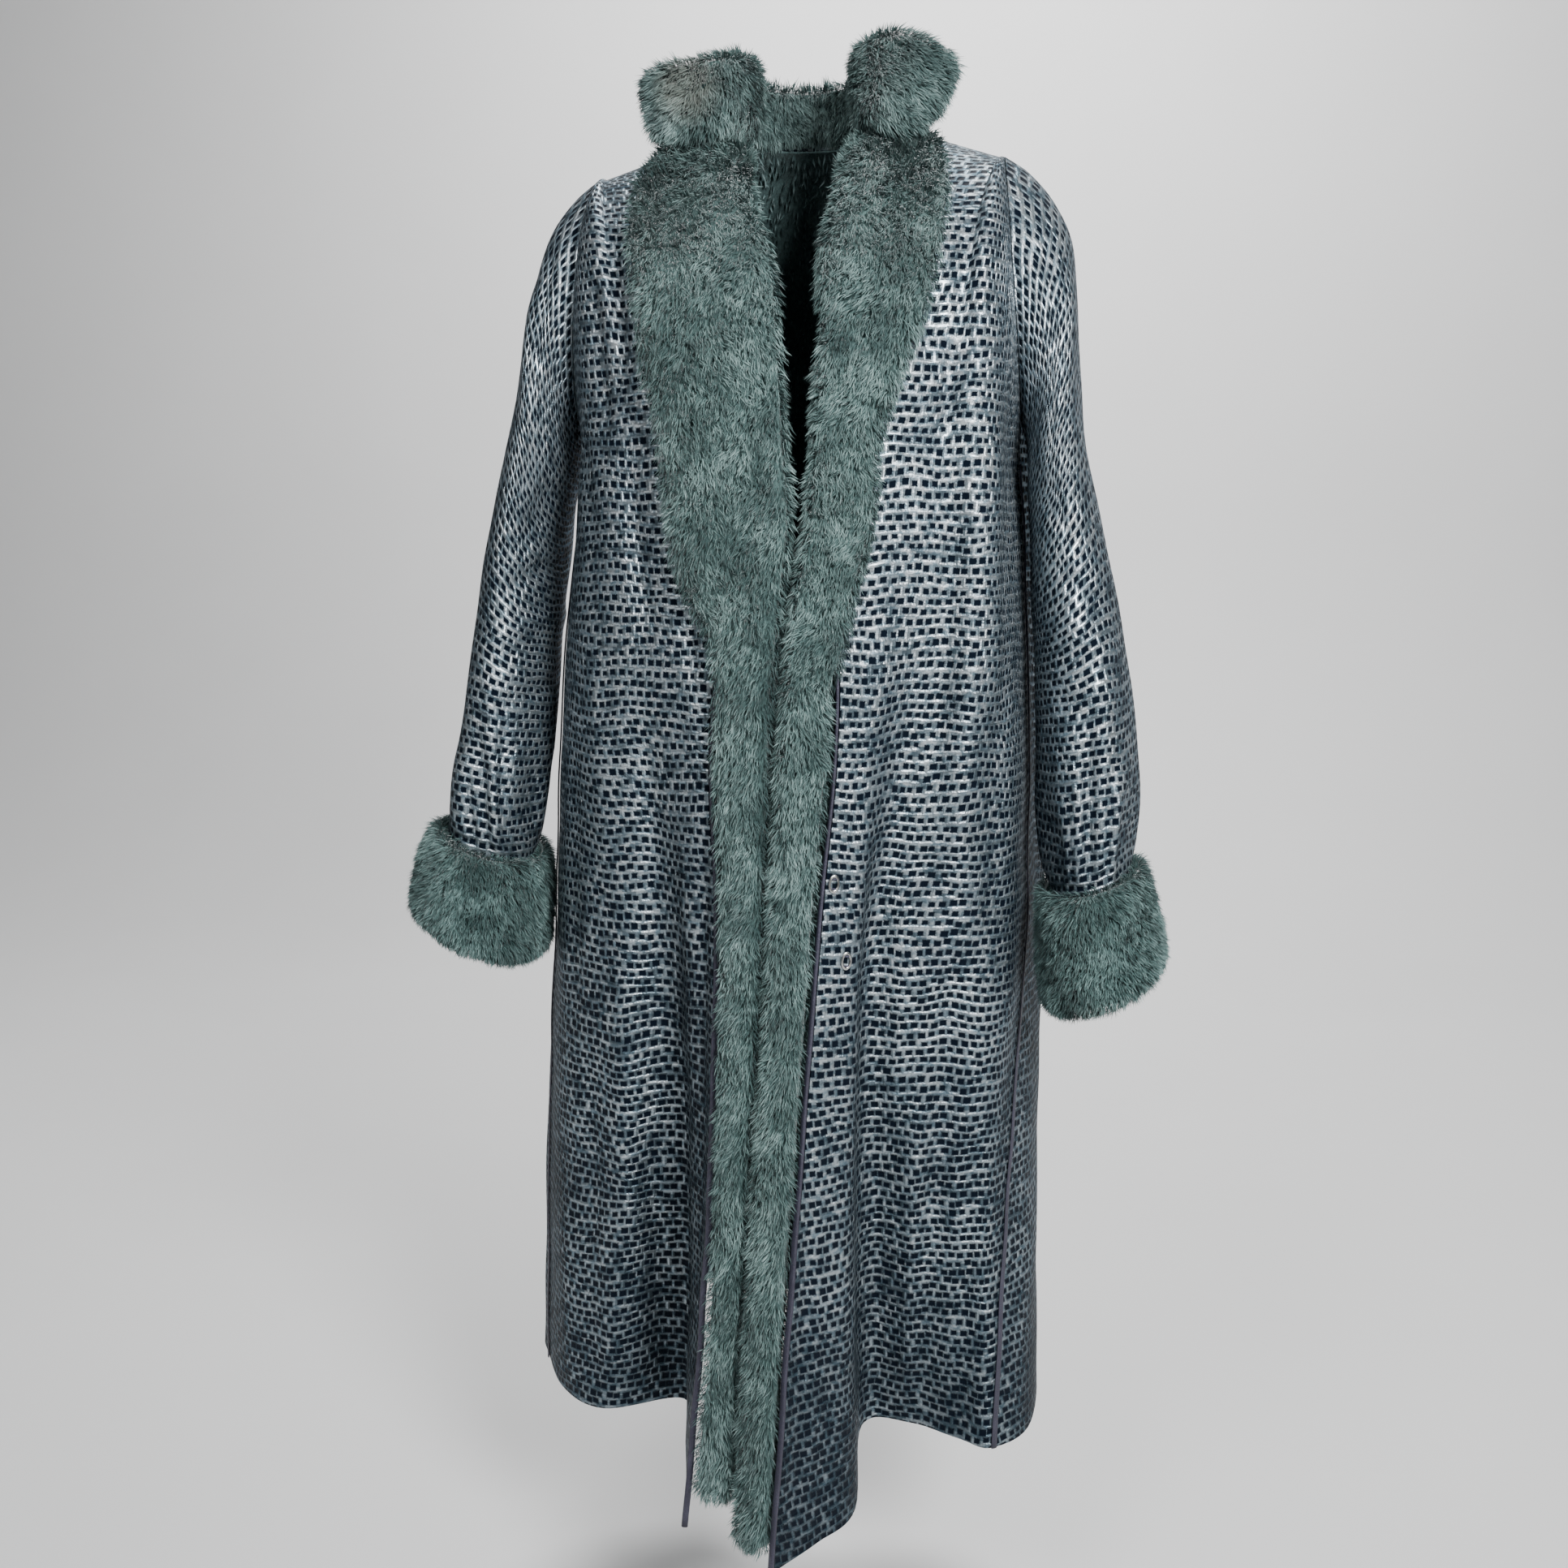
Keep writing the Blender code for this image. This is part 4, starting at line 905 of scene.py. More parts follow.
def hair_piece(name, grid, normals, coat, finish, flow=None, weight=None, dim=None):
    """Hairs over a grid, each a bent blade of two triangles, narrow at both ends.

    Roots are spread by area.  A hair leaves the skin at the root angle and bends over to
    the lean angle along the flow.  The flow swirls with a smooth field and turns a little
    from lock to lock, and each tip is drawn towards the middle of its lock.  The UV holds
    a hair's tone and the place along it.  Weight is how densely a face is grown, dim what
    the tone is multiplied by.
    """
    draw = np.random.default_rng(coat.seed)
    first, second, third, fourth = grid[:-1, :-1], grid[:-1, 1:], grid[1:, 1:], grid[1:, :-1]
    area = np.linalg.norm(np.cross(third - first, fourth - second), axis=-1)
    if weight is not None:
        area = area * weight
    chance = np.cumsum(area.ravel())
    count = coat.count
    pick = np.searchsorted(chance / chance[-1], draw.random(count))
    row, column = np.unravel_index(np.minimum(pick, area.size - 1), area.shape)
    along, across = draw.random((2, count, 1))

    def between(field):
        upper = field[row, column] * (1 - across) + field[row, column + 1] * across
        lower = field[row + 1, column] * (1 - across) + field[row + 1, column + 1] * across
        return upper * (1 - along) + lower * along

    root = between(grid)
    out = unit(between(normals))
    down = between(np.gradient(grid, axis=0) if flow is None else flow)
    down = unit(down - out * np.einsum("ij,ij->i", down, out)[:, None])
    aside = np.cross(out, down)
    lock, middles = locks(root, coat.lock)
    many = len(middles)
    turn = SWIRL * (waves(root, 46) + 0.6 * waves(root + 0.3, 120))
    turn = turn + draw.normal(0, LOCK_SPREAD, many)[lock] + draw.normal(0, HAIR_SPREAD, count)
    down = down * np.cos(turn)[:, None] + aside * np.sin(turn)[:, None]
    sway = draw.normal(0, SWAY, many)[lock] + draw.normal(0, SWAY, count)
    rise = np.radians(coat.root + 0.5 * sway)[:, None]
    bend = np.radians(coat.lean + 10 * waves(root, 70) + sway)[:, None]
    low = out * np.cos(rise) + down * np.sin(rise)
    high = out * np.cos(bend) + down * np.sin(bend)
    length = coat.length * (0.70 + 0.45 * draw.random(count)) * (1 + 0.18 * waves(root, 90))
    length = (length * (0.85 + 0.3 * draw.random(many))[lock])[:, None]
    middle = root + low * length * 0.45
    tip = middle + high * length * 0.55
    pull = middles[lock] - root
    pull -= out * np.einsum("ij,ij->i", pull, out)[:, None]
    middle = middle + pull * PULL_MIDDLE
    tip = tip + pull * PULL_TIP
    roll = draw.uniform(-1.0, 1.0, count)[:, None]
    side = unit(np.cross(high, out))
    wide = (side * np.cos(roll) + np.cross(high, side) * np.sin(roll)) * coat.width / 2
    points = np.stack([root - out * ROOT_SUNK, middle - wide, tip, middle + wide], axis=1)
    faces = (np.arange(count)[:, None, None] * 4 + np.array([[0, 1, 3], [1, 2, 3]])).reshape(-1, 3)
    tone = LOCK_TONE * draw.random(many)[lock] + (1 - LOCK_TONE) * draw.random(count)
    # Painted shade: dim lowers the tone, so the hair is drawn darker where the fur lies in shade.
    if dim is not None:
        tone = tone * between(dim[..., None])[:, 0]
    heights = np.tile(np.array((0.0, 0.5, 1.0, 0.5)), (count, 1))
    uv = np.stack([np.repeat(tone[:, None], 4, axis=1), heights], axis=-1).reshape(-1, 2)
    return add_piece(name, points.reshape(-1, 3), [faces], finish, [uv[faces]])


def outward(rings, middle):
    """Normals of closed rings, away from a middle."""
    normals = grid_normals(rings, closed=True)
    return -normals if np.einsum("ijk,ijk->", normals, rings - middle) < 0 else normals


def add_hair(name, rings, coat, finish, flow=None, **more):
    """Hairs all round closed rings."""
    normals = outward(rings, rings.mean(axis=1, keepdims=True))
    flow = None if flow is None else wrapped(flow)
    return hair_piece(name, wrapped(rings), wrapped(normals), coat, finish, flow, **more)


# ---- shapes of the pieces
def row_at(grid_row, place):
    """Points between the columns of one row."""
    place = np.clip(place, 0, len(grid_row) - 1.001)
    low = place.astype(int)
    share = (place - low)[:, None]
    return grid_row[low] * (1 - share) + grid_row[low + 1] * share


def sleeve_rings(table, shoulder):
    """Rings of a sleeve: an ellipse through each row's outer and inner point, made finer.

    Gathers are waves round the ring; the rings between those of the table lie on cubics.
    """
    turn = np.linspace(0, 2 * pi, FINE_SLEEVE, endpoint=False)
    side = np.sign(shoulder.armhole_top[0])
    rings = [armhole(shoulder, np.degrees(turn))]
    rings[0][:, 0] += side * SLEEVE_GAP
    for ring in table:
        rings.append(cuff_ring(ring, 0.0, FINE_SLEEVE))
    rings = np.array(rings)
    steps = np.linspace(0, len(rings) - 1, (len(rings) - 1) * FINE_ALONG + 1)
    fine = spline(range(len(rings)), rings.reshape(len(rings), -1), steps)
    return fine.reshape(len(steps), FINE_SLEEVE, 3)


def cuff_ring(ring, grow, segments):
    """An ellipse through a ring's outer and inner point, grown by a fur thickness."""
    turn = np.linspace(0, 2 * pi, segments, endpoint=False)
    outer, inner = np.array(ring.outer) * MM, np.array(ring.inner) * MM
    half = (outer - inner) / 2
    length = np.linalg.norm(half)
    wave = 1 + ring.gather * MM / length * 0.5 * np.cos(GATHERS * turn)
    across = np.cos(turn) * wave * (1 + grow / length)
    deep = np.sin(turn) * wave * (1 + grow / (ring.depth * MM))
    middle = (outer + inner) / 2
    return np.stack([middle[0] + half[0] * across, ring.middle * MM - ring.depth * MM * deep,
                     middle[1] + half[1] * across], axis=1)


def front_rings(surface, normals, strips, less):
    """Rings of a fur front, thinner than the solid by 1.3 times the hair's rise.

    A ring runs from the free inner edge to the cloth's front edge and, where it turns
    out as a lapel, on over the cloth as far as the table says; its section is a
    superellipse.
    """
    heights = [strip.height * MM for strip in strips][::-1]
    level = surface[:, 0, 2]
    inner = spline(heights, [np.array(strip.inner) * MM for strip in strips][::-1], level)
    cover = spline(heights, [strip.cover for strip in strips][::-1], level)
    proud = spline(heights, [strip.proud * MM for strip in strips][::-1], level)
    thick = spline(heights, [strip.thickness * MM for strip in strips][::-1], level)
    turn = np.linspace(0, 2 * pi, FINE_FUR, endpoint=False)
    free = np.concatenate([inner, level[:, None]], axis=1)
    edge = surface[:, 0]
    reach = np.linalg.norm(free - edge, axis=1)
    fade = smooth((cover + 0.02) / 0.14)
    rings = []
    for row in range(len(surface)):
        covered = max(cover[row], 0) * RIDGE_COLUMN
        on_cloth = row_at(surface[row], np.array([covered]))[0]
        covered_length = np.linalg.norm(on_cloth - edge[row]) - STRIP_SEAM * (1 - fade[row])
        total = reach[row] + covered_length - 1.5 * less
        across = 0.75 * less + (0.5 + 0.5 * rounded(np.cos(turn))) * total
        height = 0.5 + 0.5 * rounded(np.sin(turn))
        to_free = (free[row] - edge[row]) / reach[row]
        aside = np.array((-to_free[1], to_free[0], 0))
        aside = aside if aside[1] < 0 else -aside
        past = across - reach[row]
        base = edge[row] + to_free * np.maximum(-past, STRIP_SEAM * (1 - fade[row]))[:, None]
        lift = np.tile(aside, (len(turn), 1))
        if covered > 0 and covered_length > 0:
            place = np.clip(past / covered_length, 0, 1) * covered
            on = (past > 0)[:, None]
            base = np.where(on, row_at(surface[row], place), base)
            blend = np.clip((past + 0.02) / 0.03, 0, 1)[:, None] * fade[row]
            lift = unit(lift * (1 - blend) + row_at(normals[row], place) * blend)
        thin = max(thick[row] - less * 1.3, thick[row] * 0.45)
        rings.append(base + lift * (proud[row] + (thick[row] - thin) * 0.35 + height * thin)[:, None])
    return np.array(rings)


def collar_rings(less):
    """Rings of the collar: superellipses that stand along a cubic through its stations."""
    knots = range(len(COLLAR))
    steps = np.linspace(0, len(COLLAR) - 1, (len(COLLAR) - 1) * 7 + 1)
    table = spline(knots, [list(station) for station in COLLAR], steps) * MM
    along = unit(np.gradient(table[:, :2], axis=0))
    away = np.stack([along[:, 1], -along[:, 0]], axis=1)[:, None]
    turn = np.linspace(0, 2 * pi, FINE_FUR, endpoint=False)
    up = (0.5 + 0.5 * rounded(np.sin(turn)))[None, :, None]
    side = (0.5 * rounded(np.cos(turn)))[None, :, None]
    x, y, foot, height, thickness, lean = (table[:, index][:, None, None] for index in range(6))
    aside = side * (thickness - 2 * less * 0.7) + up * lean
    flat = np.concatenate([x, y], axis=2) + away * aside
    tall = foot + less * 0.6 + up * (height - less * 1.6)
    rings = np.concatenate([flat, tall], axis=2)
    ends = []
    for near, next_one in ((rings[0], rings[1]), (rings[-1], rings[-2])):
        middle = near.mean(axis=0)
        step = middle - next_one.mean(axis=0)
        ends.append([middle + (near - middle) * share + step * reach
                     for share, reach in ((0.9, 0.55), (0.7, 1.1), (0.4, 1.5))])
    return np.concatenate([ends[0][::-1], rings, ends[1]])


def closed_ends(rings, shares=((0.85, 0.004), (0.55, 0.008))):
    """Round off both ends of a row of rings with smaller rings."""
    ends = []
    for end, inside in ((rings[0], rings[3]), (rings[-1], rings[-4])):
        middle = end.mean(axis=0)
        step = unit(middle - inside.mean(axis=0))
        ends.append([middle + (end - middle) * share + step * reach for share, reach in shares])
    return np.concatenate([ends[0][::-1], rings, ends[1]])


def pulled_in(panel, first, last, gap):
    """Take half a gap off a panel's side seams and its shoulder seams."""
    panel = panel.copy()
    if first:
        panel[:, 0] += unit(panel[:, 1] - panel[:, 0]) * gap / 2
    if last:
        panel[:, -1] += unit(panel[:, -2] - panel[:, -1]) * gap / 2
    panel[0] += unit(panel[1] - panel[0]) * gap / 2
    return panel


# ---- what a user may change
class CoatColours(bpy.types.PropertyGroup):
    """Colours of the coat's finishes, linear."""

    cloth: bpy.props.FloatVectorProperty(
        name="Cloth", description="Coated ground of the cloth",
        subtype="COLOR", default=(0.265, 0.37, 0.44))
    cloth_light: bpy.props.FloatVectorProperty(
        name="Cloth glint", description="Glints in the coating",
        subtype="COLOR", default=(0.86, 0.91, 0.93))
    # Painted shade: the ground colour the cloth takes low on the coat, where the light falls off; it
    # also darkens random cells of the pattern.
    cloth_shade: bpy.props.FloatVectorProperty(
        name="Cloth shade", description="Ground where the coating is thin",
        subtype="COLOR", default=(0.030, 0.052, 0.068))
    square: bpy.props.FloatVectorProperty(
        name="Squares", description="Sunken squares of the pattern",
        subtype="COLOR", default=(0.004, 0.007, 0.013))
    fur: bpy.props.FloatVectorProperty(
        name="Fur", description="Middle of the hairs",
        subtype="COLOR", default=(0.125, 0.215, 0.205))
    fur_root: bpy.props.FloatVectorProperty(
        name="Fur roots", description="Foot of the hairs",
        subtype="COLOR", default=(0.022, 0.050, 0.050))
    fur_tip: bpy.props.FloatVectorProperty(
        name="Fur tips", description="Tips of the hairs",
        subtype="COLOR", default=(0.44, 0.60, 0.58))
    leather: bpy.props.FloatVectorProperty(
        name="Leather", description="Edging and welts",
        subtype="COLOR", default=(0.030, 0.029, 0.050))
    steel: bpy.props.FloatVectorProperty(
        name="Steel", description="Hooks",
        subtype="COLOR", default=(0.72, 0.72, 0.70))


class CoatSizes(bpy.types.PropertyGroup):
    """Sizes of the coat's pattern and fur."""

    pitch_across: bpy.props.FloatProperty(
        name="Pattern across", description="Mean distance between squares",
        default=0.0091, unit="LENGTH")
    pitch_down: bpy.props.FloatProperty(
        name="Pattern down", description="Distance between rows of squares",
        default=0.0089, unit="LENGTH")
    hair_length: bpy.props.FloatProperty(
        name="Hair", description="Length of the trim's hair",
        default=0.0125, unit="LENGTH")
    hair_width: bpy.props.FloatProperty(
        name="Hair width", description="Width of a blade of hair at its middle",
        default=0.0009, unit="LENGTH")
    hair_rise: bpy.props.FloatProperty(
        name="Pelt depth", description="How far the skin lies inside the solid's surface",
        default=0.0058, unit="LENGTH")


def settings():
    """The scene's colours and sizes."""
    return bpy.context.scene.coat_colours, bpy.context.scene.coat_sizes


def shared(name, make, *values):
    """A finish that is made once."""
    return bpy.data.materials.get(name) or make(*values)


def place_piece(piece, slot, *nodes):
    """Ride on the coat's one body and stand for its solids; the finish slot is not used."""
    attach(piece, "root")
    if nodes:
        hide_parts(*nodes)
    return piece


class COAT_OT_cloth(bpy.types.Operator):
    """Cut the two fronts and the back from the body surface, as walls of cloth"""

    bl_idname = "coat.cloth"
    bl_label = "Fronts and back"

    def execute(self, context):
        colours, sizes = settings()
        finish = shared("patterned_cloth", cloth_finish, colours, sizes)
        total = BODY.shape[1]
        half, middle = SEAM_COLUMN // 2, total // 2 - SEAM_COLUMN
        cuts = (
            ("front_left", slice(0, SEAM_COLUMN + 1),
             False, True, half, (0.34, 1.27), 0.30),
            ("back", slice(SEAM_COLUMN, total - SEAM_COLUMN),
             True, True, middle, (0.86, 1.22), 0.76),
            ("front_right", slice(total - SEAM_COLUMN - 1, total),
             True, False, half, (0.36, 1.27), 0.31),
        )
        for name, columns, first, last, grain, flat, area in cuts:
            panel = pulled_in(BODY[:, columns], first, last, SEAM_GAP)
            inner = panel - BODY_OUT[:, columns] * CLOTH
            piece = wall_piece(name + "_cloth", panel, inner, finish, panel_uv(panel, grain))
            place_piece(piece, "cloth", name)
        return {"FINISHED"}


class COAT_OT_sleeves(bpy.types.Operator):
    """Loft each sleeve from the armhole to inside the cuff"""

    bl_idname = "coat.sleeves"
    bl_label = "Sleeves"

    def execute(self, context):
        colours, sizes = settings()
        finish = shared("patterned_cloth", cloth_finish, colours, sizes)
        for name, table, shoulder, side in (("left", LEFT_SLEEVE, LEFT_SHOULDER, 1.0),
                                            ("right", RIGHT_SLEEVE, RIGHT_SHOULDER, -1.0)):
            rings = sleeve_rings(table, shoulder)
            middles = rings.mean(axis=1, keepdims=True)
            normals = outward(rings, middles)
            along = np.linspace(0, 1, len(rings))[:, None]
            shown = smooth((along - 0.05) / 0.08) * smooth((1 - along) / 0.14)
            front = shown * smooth((0.03 - rings[..., 1]) / 0.04)
            rings = creased(rings, normals, SLEEVE_CREASES, front, side)
            back = shown * smooth(rings[..., 1] / 0.04) * 0.8
            rings = creased(rings, normals, SLEEVE_CREASES[::2], back, side)
            rings = rings + normals * (UNEVEN_SLEEVE * waves(rings, 48) * shown)[..., None]
            inner = rings + unit(middles - rings) * CLOTH
            shift = -FINE_SLEEVE * 3 // 4
            rings, inner = np.roll(rings, shift, axis=1), np.roll(inner, shift, axis=1)
            metres = ring_uv(rings)
            loop = np.concatenate([rings, inner[::-1]])
            piece = ring_piece("sleeve_" + name + "_cloth", loop, finish,
                               np.concatenate([metres, metres[::-1]]), looped=True, sharp=SHARP)
            place_piece(piece, "cloth", "sleeve_" + name)
        return {"FINISHED"}


class COAT_OT_lining(bpy.types.Operator):
    """Line the fronts and the back with short fur"""

    bl_idname = "coat.lining"
    bl_label = "Fur lining"

    def execute(self, context):
        colours, _ = settings()
        pelt = shared("lining_pelt", pelt_finish, "lining_pelt", colours, (0.85, 0.85, 0.88))
        hair = shared("lining_hair", fur_finish, "lining_hair", colours, (0.8, 0.8, 0.84))
        total = BODY.shape[1]
        cuts = (
            ("front_left", slice(RIDGE_COLUMN, SEAM_COLUMN + 1),
             False, True, 8000, (0.26, 1.22), 0.24),
            ("back", slice(SEAM_COLUMN, total - SEAM_COLUMN),
             True, True, 24000, (0.83, 1.19), 0.77),
            ("front_right", slice(total - SEAM_COLUMN - 1, total - RIDGE_COLUMN),
             True, False, 8000, (0.27, 1.22), 0.25),
        )
        rows = slice(0, len(BODY) - LINING_SHORT_ROWS)
        for number, (name, columns, first, last, count, flat, area) in enumerate(cuts):
            body = pulled_in(BODY[rows, columns], first, last, LINING_GAP)
            out = BODY_OUT[rows, columns]
            near = body - out * (CLOTH + LINING_GAP)
            far = body - out * (CLOTH + LINING_GAP + LINING_FUR * 0.35)
            piece = wall_piece("lining_" + name + "_pelt", near, far, pelt, panel_uv(body, 4))
            place_piece(piece, "lining_fur", "lining_" + name)
            coat = Coat(count, length=0.010, width=0.0020, root=30, lean=66, lock=0.007,
                        seed=60 + number)
            place_piece(hair_piece("lining_" + name + "_hair", far, -out, coat, hair), "lining_fur")
        return {"FINISHED"}


class COAT_OT_fronts(bpy.types.Operator):
    """Lay a fur front down each edge: a wide lapel that narrows to a border"""

    bl_idname = "coat.fronts"
    bl_label = "Fur fronts"

    def execute(self, context):
        colours, sizes = settings()
        pelt = shared("trim_pelt", pelt_finish, "trim_pelt", colours)
        hair = shared("trim_hair", fur_finish, "trim_hair", colours)
        sides = (("left", BODY, BODY_OUT, LEFT_FUR, 11),
                 ("right", BODY[:, ::-1], BODY_OUT[:, ::-1], RIGHT_FUR, 12))
        for name, grid, out, strips, seed in sides:
            rings = front_rings(grid[4:], out[4:], strips, sizes.hair_rise)
            keep = rings[..., 2].mean(axis=1) > strips[-1].height * MM + 0.006
            rings = closed_ends(rings[keep])
            piece = ring_piece("fur_front_" + name + "_pelt", rings, pelt)
            place_piece(piece, "fur", "fur_front_" + name)
            coat = Coat(FRONT_HAIRS, sizes.hair_length, sizes.hair_width,
                        root=22, lean=60, lock=0.0065, seed=seed)
            turn = np.linspace(0, 2 * pi, FINE_FUR + 1)
            # Painted shade below the chest: beside the cloth's edge the hairs are drawn darker, where
            # the fur lies in shade, and also grown thinner; on the right front they are drawn darker
            # where it meets the left one.
            border = smooth((-0.36 - rings[..., 2].mean(axis=1)) / 0.10)[:, None]
            at_cloth = border * smooth((np.cos(turn) - 0.8) / 0.2)
            shade_where_fronts_meet = border * smooth((-np.cos(turn) - 0.55) / 0.35)
            shade_where_fronts_meet = shade_where_fronts_meet * (0.9 if name == "right" else 0.0)
            made = add_hair("fur_front_" + name + "_hair", rings, coat, hair,
                            weight=(1 - 0.85 * at_cloth)[:-1, :-1],
                            dim=(1 - shade_where_fronts_meet) * (1 - 0.6 * at_cloth))
            place_piece(made, "fur")
        return {"FINISHED"}


class COAT_OT_collar(bpy.types.Operator):
    """Stand the fur collar round the neck and turn its ends out as wings"""

    bl_idname = "coat.collar"
    bl_label = "Collar"

    def execute(self, context):
        colours, sizes = settings()
        pelt = shared("trim_pelt", pelt_finish, "trim_pelt", colours)
        hair = fur_finish("collar_hair", colours, (0.9, 0.9, 0.9), WING_PATCHES)
        rings = collar_rings(sizes.hair_rise)
        piece = ring_piece("collar_pelt", rings, pelt)
        place_piece(piece, "fur", "collar")
        flow = np.zeros_like(rings)
        flow[..., 2] = -1.0
        along = unit(np.gradient(rings.mean(axis=1), axis=0))[:, None]
        flow += along * np.linspace(-0.9, 0.9, len(rings))[:, None, None]
        coat = Coat(COLLAR_HAIRS, sizes.hair_length, sizes.hair_width,
                    root=22, lean=56, lock=0.006, seed=21)
        place_piece(add_hair("collar_hair", rings, coat, hair, flow), "fur")
        return {"FINISHED"}


class COAT_OT_cuffs(bpy.types.Operator):
    """Turn back a fur cuff at the end of each sleeve"""

    bl_idname = "coat.cuffs"
    bl_label = "Cuffs"

    def execute(self, context):
        colours, sizes = settings()
        pelt = pelt_finish("cuff_pelt", colours, (0.8, 0.8, 0.8))
        hair = fur_finish("cuff_hair", colours, (0.74, 0.8, 0.8), CUFF_SHADE_PATCHES)
        less = sizes.hair_rise
        turn = (2 * pi * (np.arange(FINE_FUR) + 0.5) / FINE_FUR)[:, None, None]
        along = 0.5 - 0.5 * rounded(np.cos(turn))
        out = 0.5 - 0.5 * rounded(np.sin(turn))
        for name, cuff, seed in (("left", LEFT_CUFF, 31), ("right", RIGHT_CUFF, 32)):
            upper = cuff_ring(cuff.upper, CUFF_BORE, CUFF_SEGMENTS)
            lower = cuff_ring(cuff.lower, CUFF_BORE, CUFF_SEGMENTS)
            wide_upper = cuff_ring(cuff.upper, cuff.upper_fur * MM - less, CUFF_SEGMENTS)
            wide_lower = cuff_ring(cuff.lower, cuff.lower_fur * MM - less, CUFF_SEGMENTS)
            squeezed = 0.04 + along * 0.92
            bore = upper + (lower - upper) * squeezed
            skin = wide_upper + (wide_lower - wide_upper) * squeezed
            profile = bore + (skin - bore) * out
            piece = ring_piece("cuff_" + name + "_pelt", profile, pelt, looped=True)
            place_piece(piece, "fur", "cuff_" + name)
            loop = np.concatenate([profile, profile[:1]])
            normals = outward(loop, profile.mean(axis=0)[None])
            flow = np.tile(unit((lower - upper).mean(axis=0)), loop.shape[:2] + (1,))
            weight = np.repeat(smooth((out[..., 0] - 0.12) / 0.3), CUFF_SEGMENTS, axis=1) + 0.02
            coat = Coat(CUFF_HAIRS, sizes.hair_length * 0.9, sizes.hair_width,
                        root=20, lean=54, lock=0.006, seed=seed)
            made = hair_piece("cuff_" + name + "_hair", wrapped(loop), wrapped(normals), coat, hair,
                              wrapped(flow), weight=weight)
            place_piece(made, "fur")
        return {"FINISHED"}


class COAT_OT_edging(bpy.types.Operator):
    """Bind the front edges and raise a welt along each side seam, in leather"""

    bl_idname = "coat.edging"
    bl_label = "Leather edging"

    def execute(self, context):
        colours, _ = settings()
        leather = shared("dark_leather", leather_finish, colours)
        sides = (("left", BODY, BODY_OUT), ("right", BODY[:, ::-1], BODY_OUT[:, ::-1]))
        for name, grid, out in sides:
            first = int(np.argmin(np.abs(grid[:, 0, 2] - frame_top("binding_" + name))))
            edge, normal = grid[first:, 0], out[first:, 0]
            away = unit(edge - grid[first:, 2])
            turn = np.linspace(0, 2 * pi, 14, endpoint=False)[None, :, None]
            middle = (edge - normal * CLOTH / 2 + away * (BINDING_GAP + BINDING_WIDTH) / 2)[:, None]
            reach = (BINDING_WIDTH - BINDING_GAP) / 2
            rings = (middle + away[:, None] * rounded(np.cos(turn)) * reach
                     + normal[:, None] * rounded(np.sin(turn)) * BINDING_THICKNESS / 2)
            piece = ring_piece("binding_" + name + "_leather", rings, leather)
            place_piece(piece, "leather", "binding_" + name)
            top = frame_top("welt_" + name)
            start = int(np.argmin(np.abs(grid[:, SEAM_COLUMN, 2] - top)))
            seam, normal = grid[start:, SEAM_COLUMN], out[start:, SEAM_COLUMN]
            before = unit(grid[start:, SEAM_COLUMN - 1] - seam) * WELT_HALF_WIDTH
            after = unit(grid[start:, SEAM_COLUMN + 1] - seam) * WELT_HALF_WIDTH
            turn = np.linspace(0, 2 * pi, 12, endpoint=False)[None, :, None]
            aside = np.where(np.cos(turn) > 0, after[:, None] * np.cos(turn),
                             before[:, None] * -np.cos(turn))
            rise = WELT_GAP + WELT_THICKNESS / 2 + rounded(np.sin(turn)) * WELT_THICKNESS / 2
            rings = seam[:, None] + aside + normal[:, None] * rise
            piece = ring_piece("welt_" + name + "_leather", rings, leather)
            place_piece(piece, "leather", "welt_" + name)
        return {"FINISHED"}


def frame_top(node):
    """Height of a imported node's top."""
    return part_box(node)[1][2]


# A wire eye's half sizes, its wire's and its thread's radius.
EYE_ACROSS, EYE_DOWN = 0.004, 0.0065
WIRE, THREAD = 0.0011, 0.0007


class COAT_OT_hooks(bpy.types.Operator):
    """Lay the two wire eyes by the left front edge, each with its thread loops"""

    bl_idname = "coat.hooks"
    bl_label = "Hooks"

    def execute(self, context):
        colours, _ = settings()
        steel = shared("bright_steel", steel_finish, colours)
        thread = shared("dark_thread", thread_finish, colours)
        for name in ("hook_upper", "hook_lower"):
            low, high = (np.array(corner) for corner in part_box(name))
            middle = (low + high) / 2
            reach = np.linalg.norm(BODY[:, :SEAM_COLUMN] - middle, axis=-1)
            row, column = np.unravel_index(np.argmin(reach), reach.shape)
            out = BODY_OUT[row, column]
            down = unit(BODY[row + 1, column] - BODY[row - 1, column])
            across = np.cross(out, down)
            middle = BODY[row, column]
            around = np.linspace(0, 2 * pi, 40, endpoint=False)[:, None, None]
            section = np.linspace(0, 2 * pi, 10, endpoint=False)[None, :, None]
            spread = 1 + WIRE * np.cos(section) / EYE_ACROSS
            flat = (across * np.cos(around) * EYE_ACROSS + down * np.sin(around) * EYE_DOWN) * spread
            rings = middle + flat + out * (WIRE * (1.5 + np.sin(section)))
            place_piece(ring_piece(name + "_wire", rings, steel, looped=True), "steel", name)
            for number, share in enumerate((-0.55, 0.55)):
                spot = middle + down * share * 0.0075
                turn = np.linspace(0, pi, 12)[:, None, None]
                path = spot + across * 0.0028 * np.cos(turn) + out * (0.0005 + 0.0026 * np.sin(turn))
                bend = down * np.cos(section) + out * np.sin(section)
                loop = ring_piece(f"{name}_thread_{number}", path + bend * THREAD, thread)
                place_piece(loop, "leather")
        return {"FINISHED"}


# ---- stage
FLOOR_LEVEL = -1.48
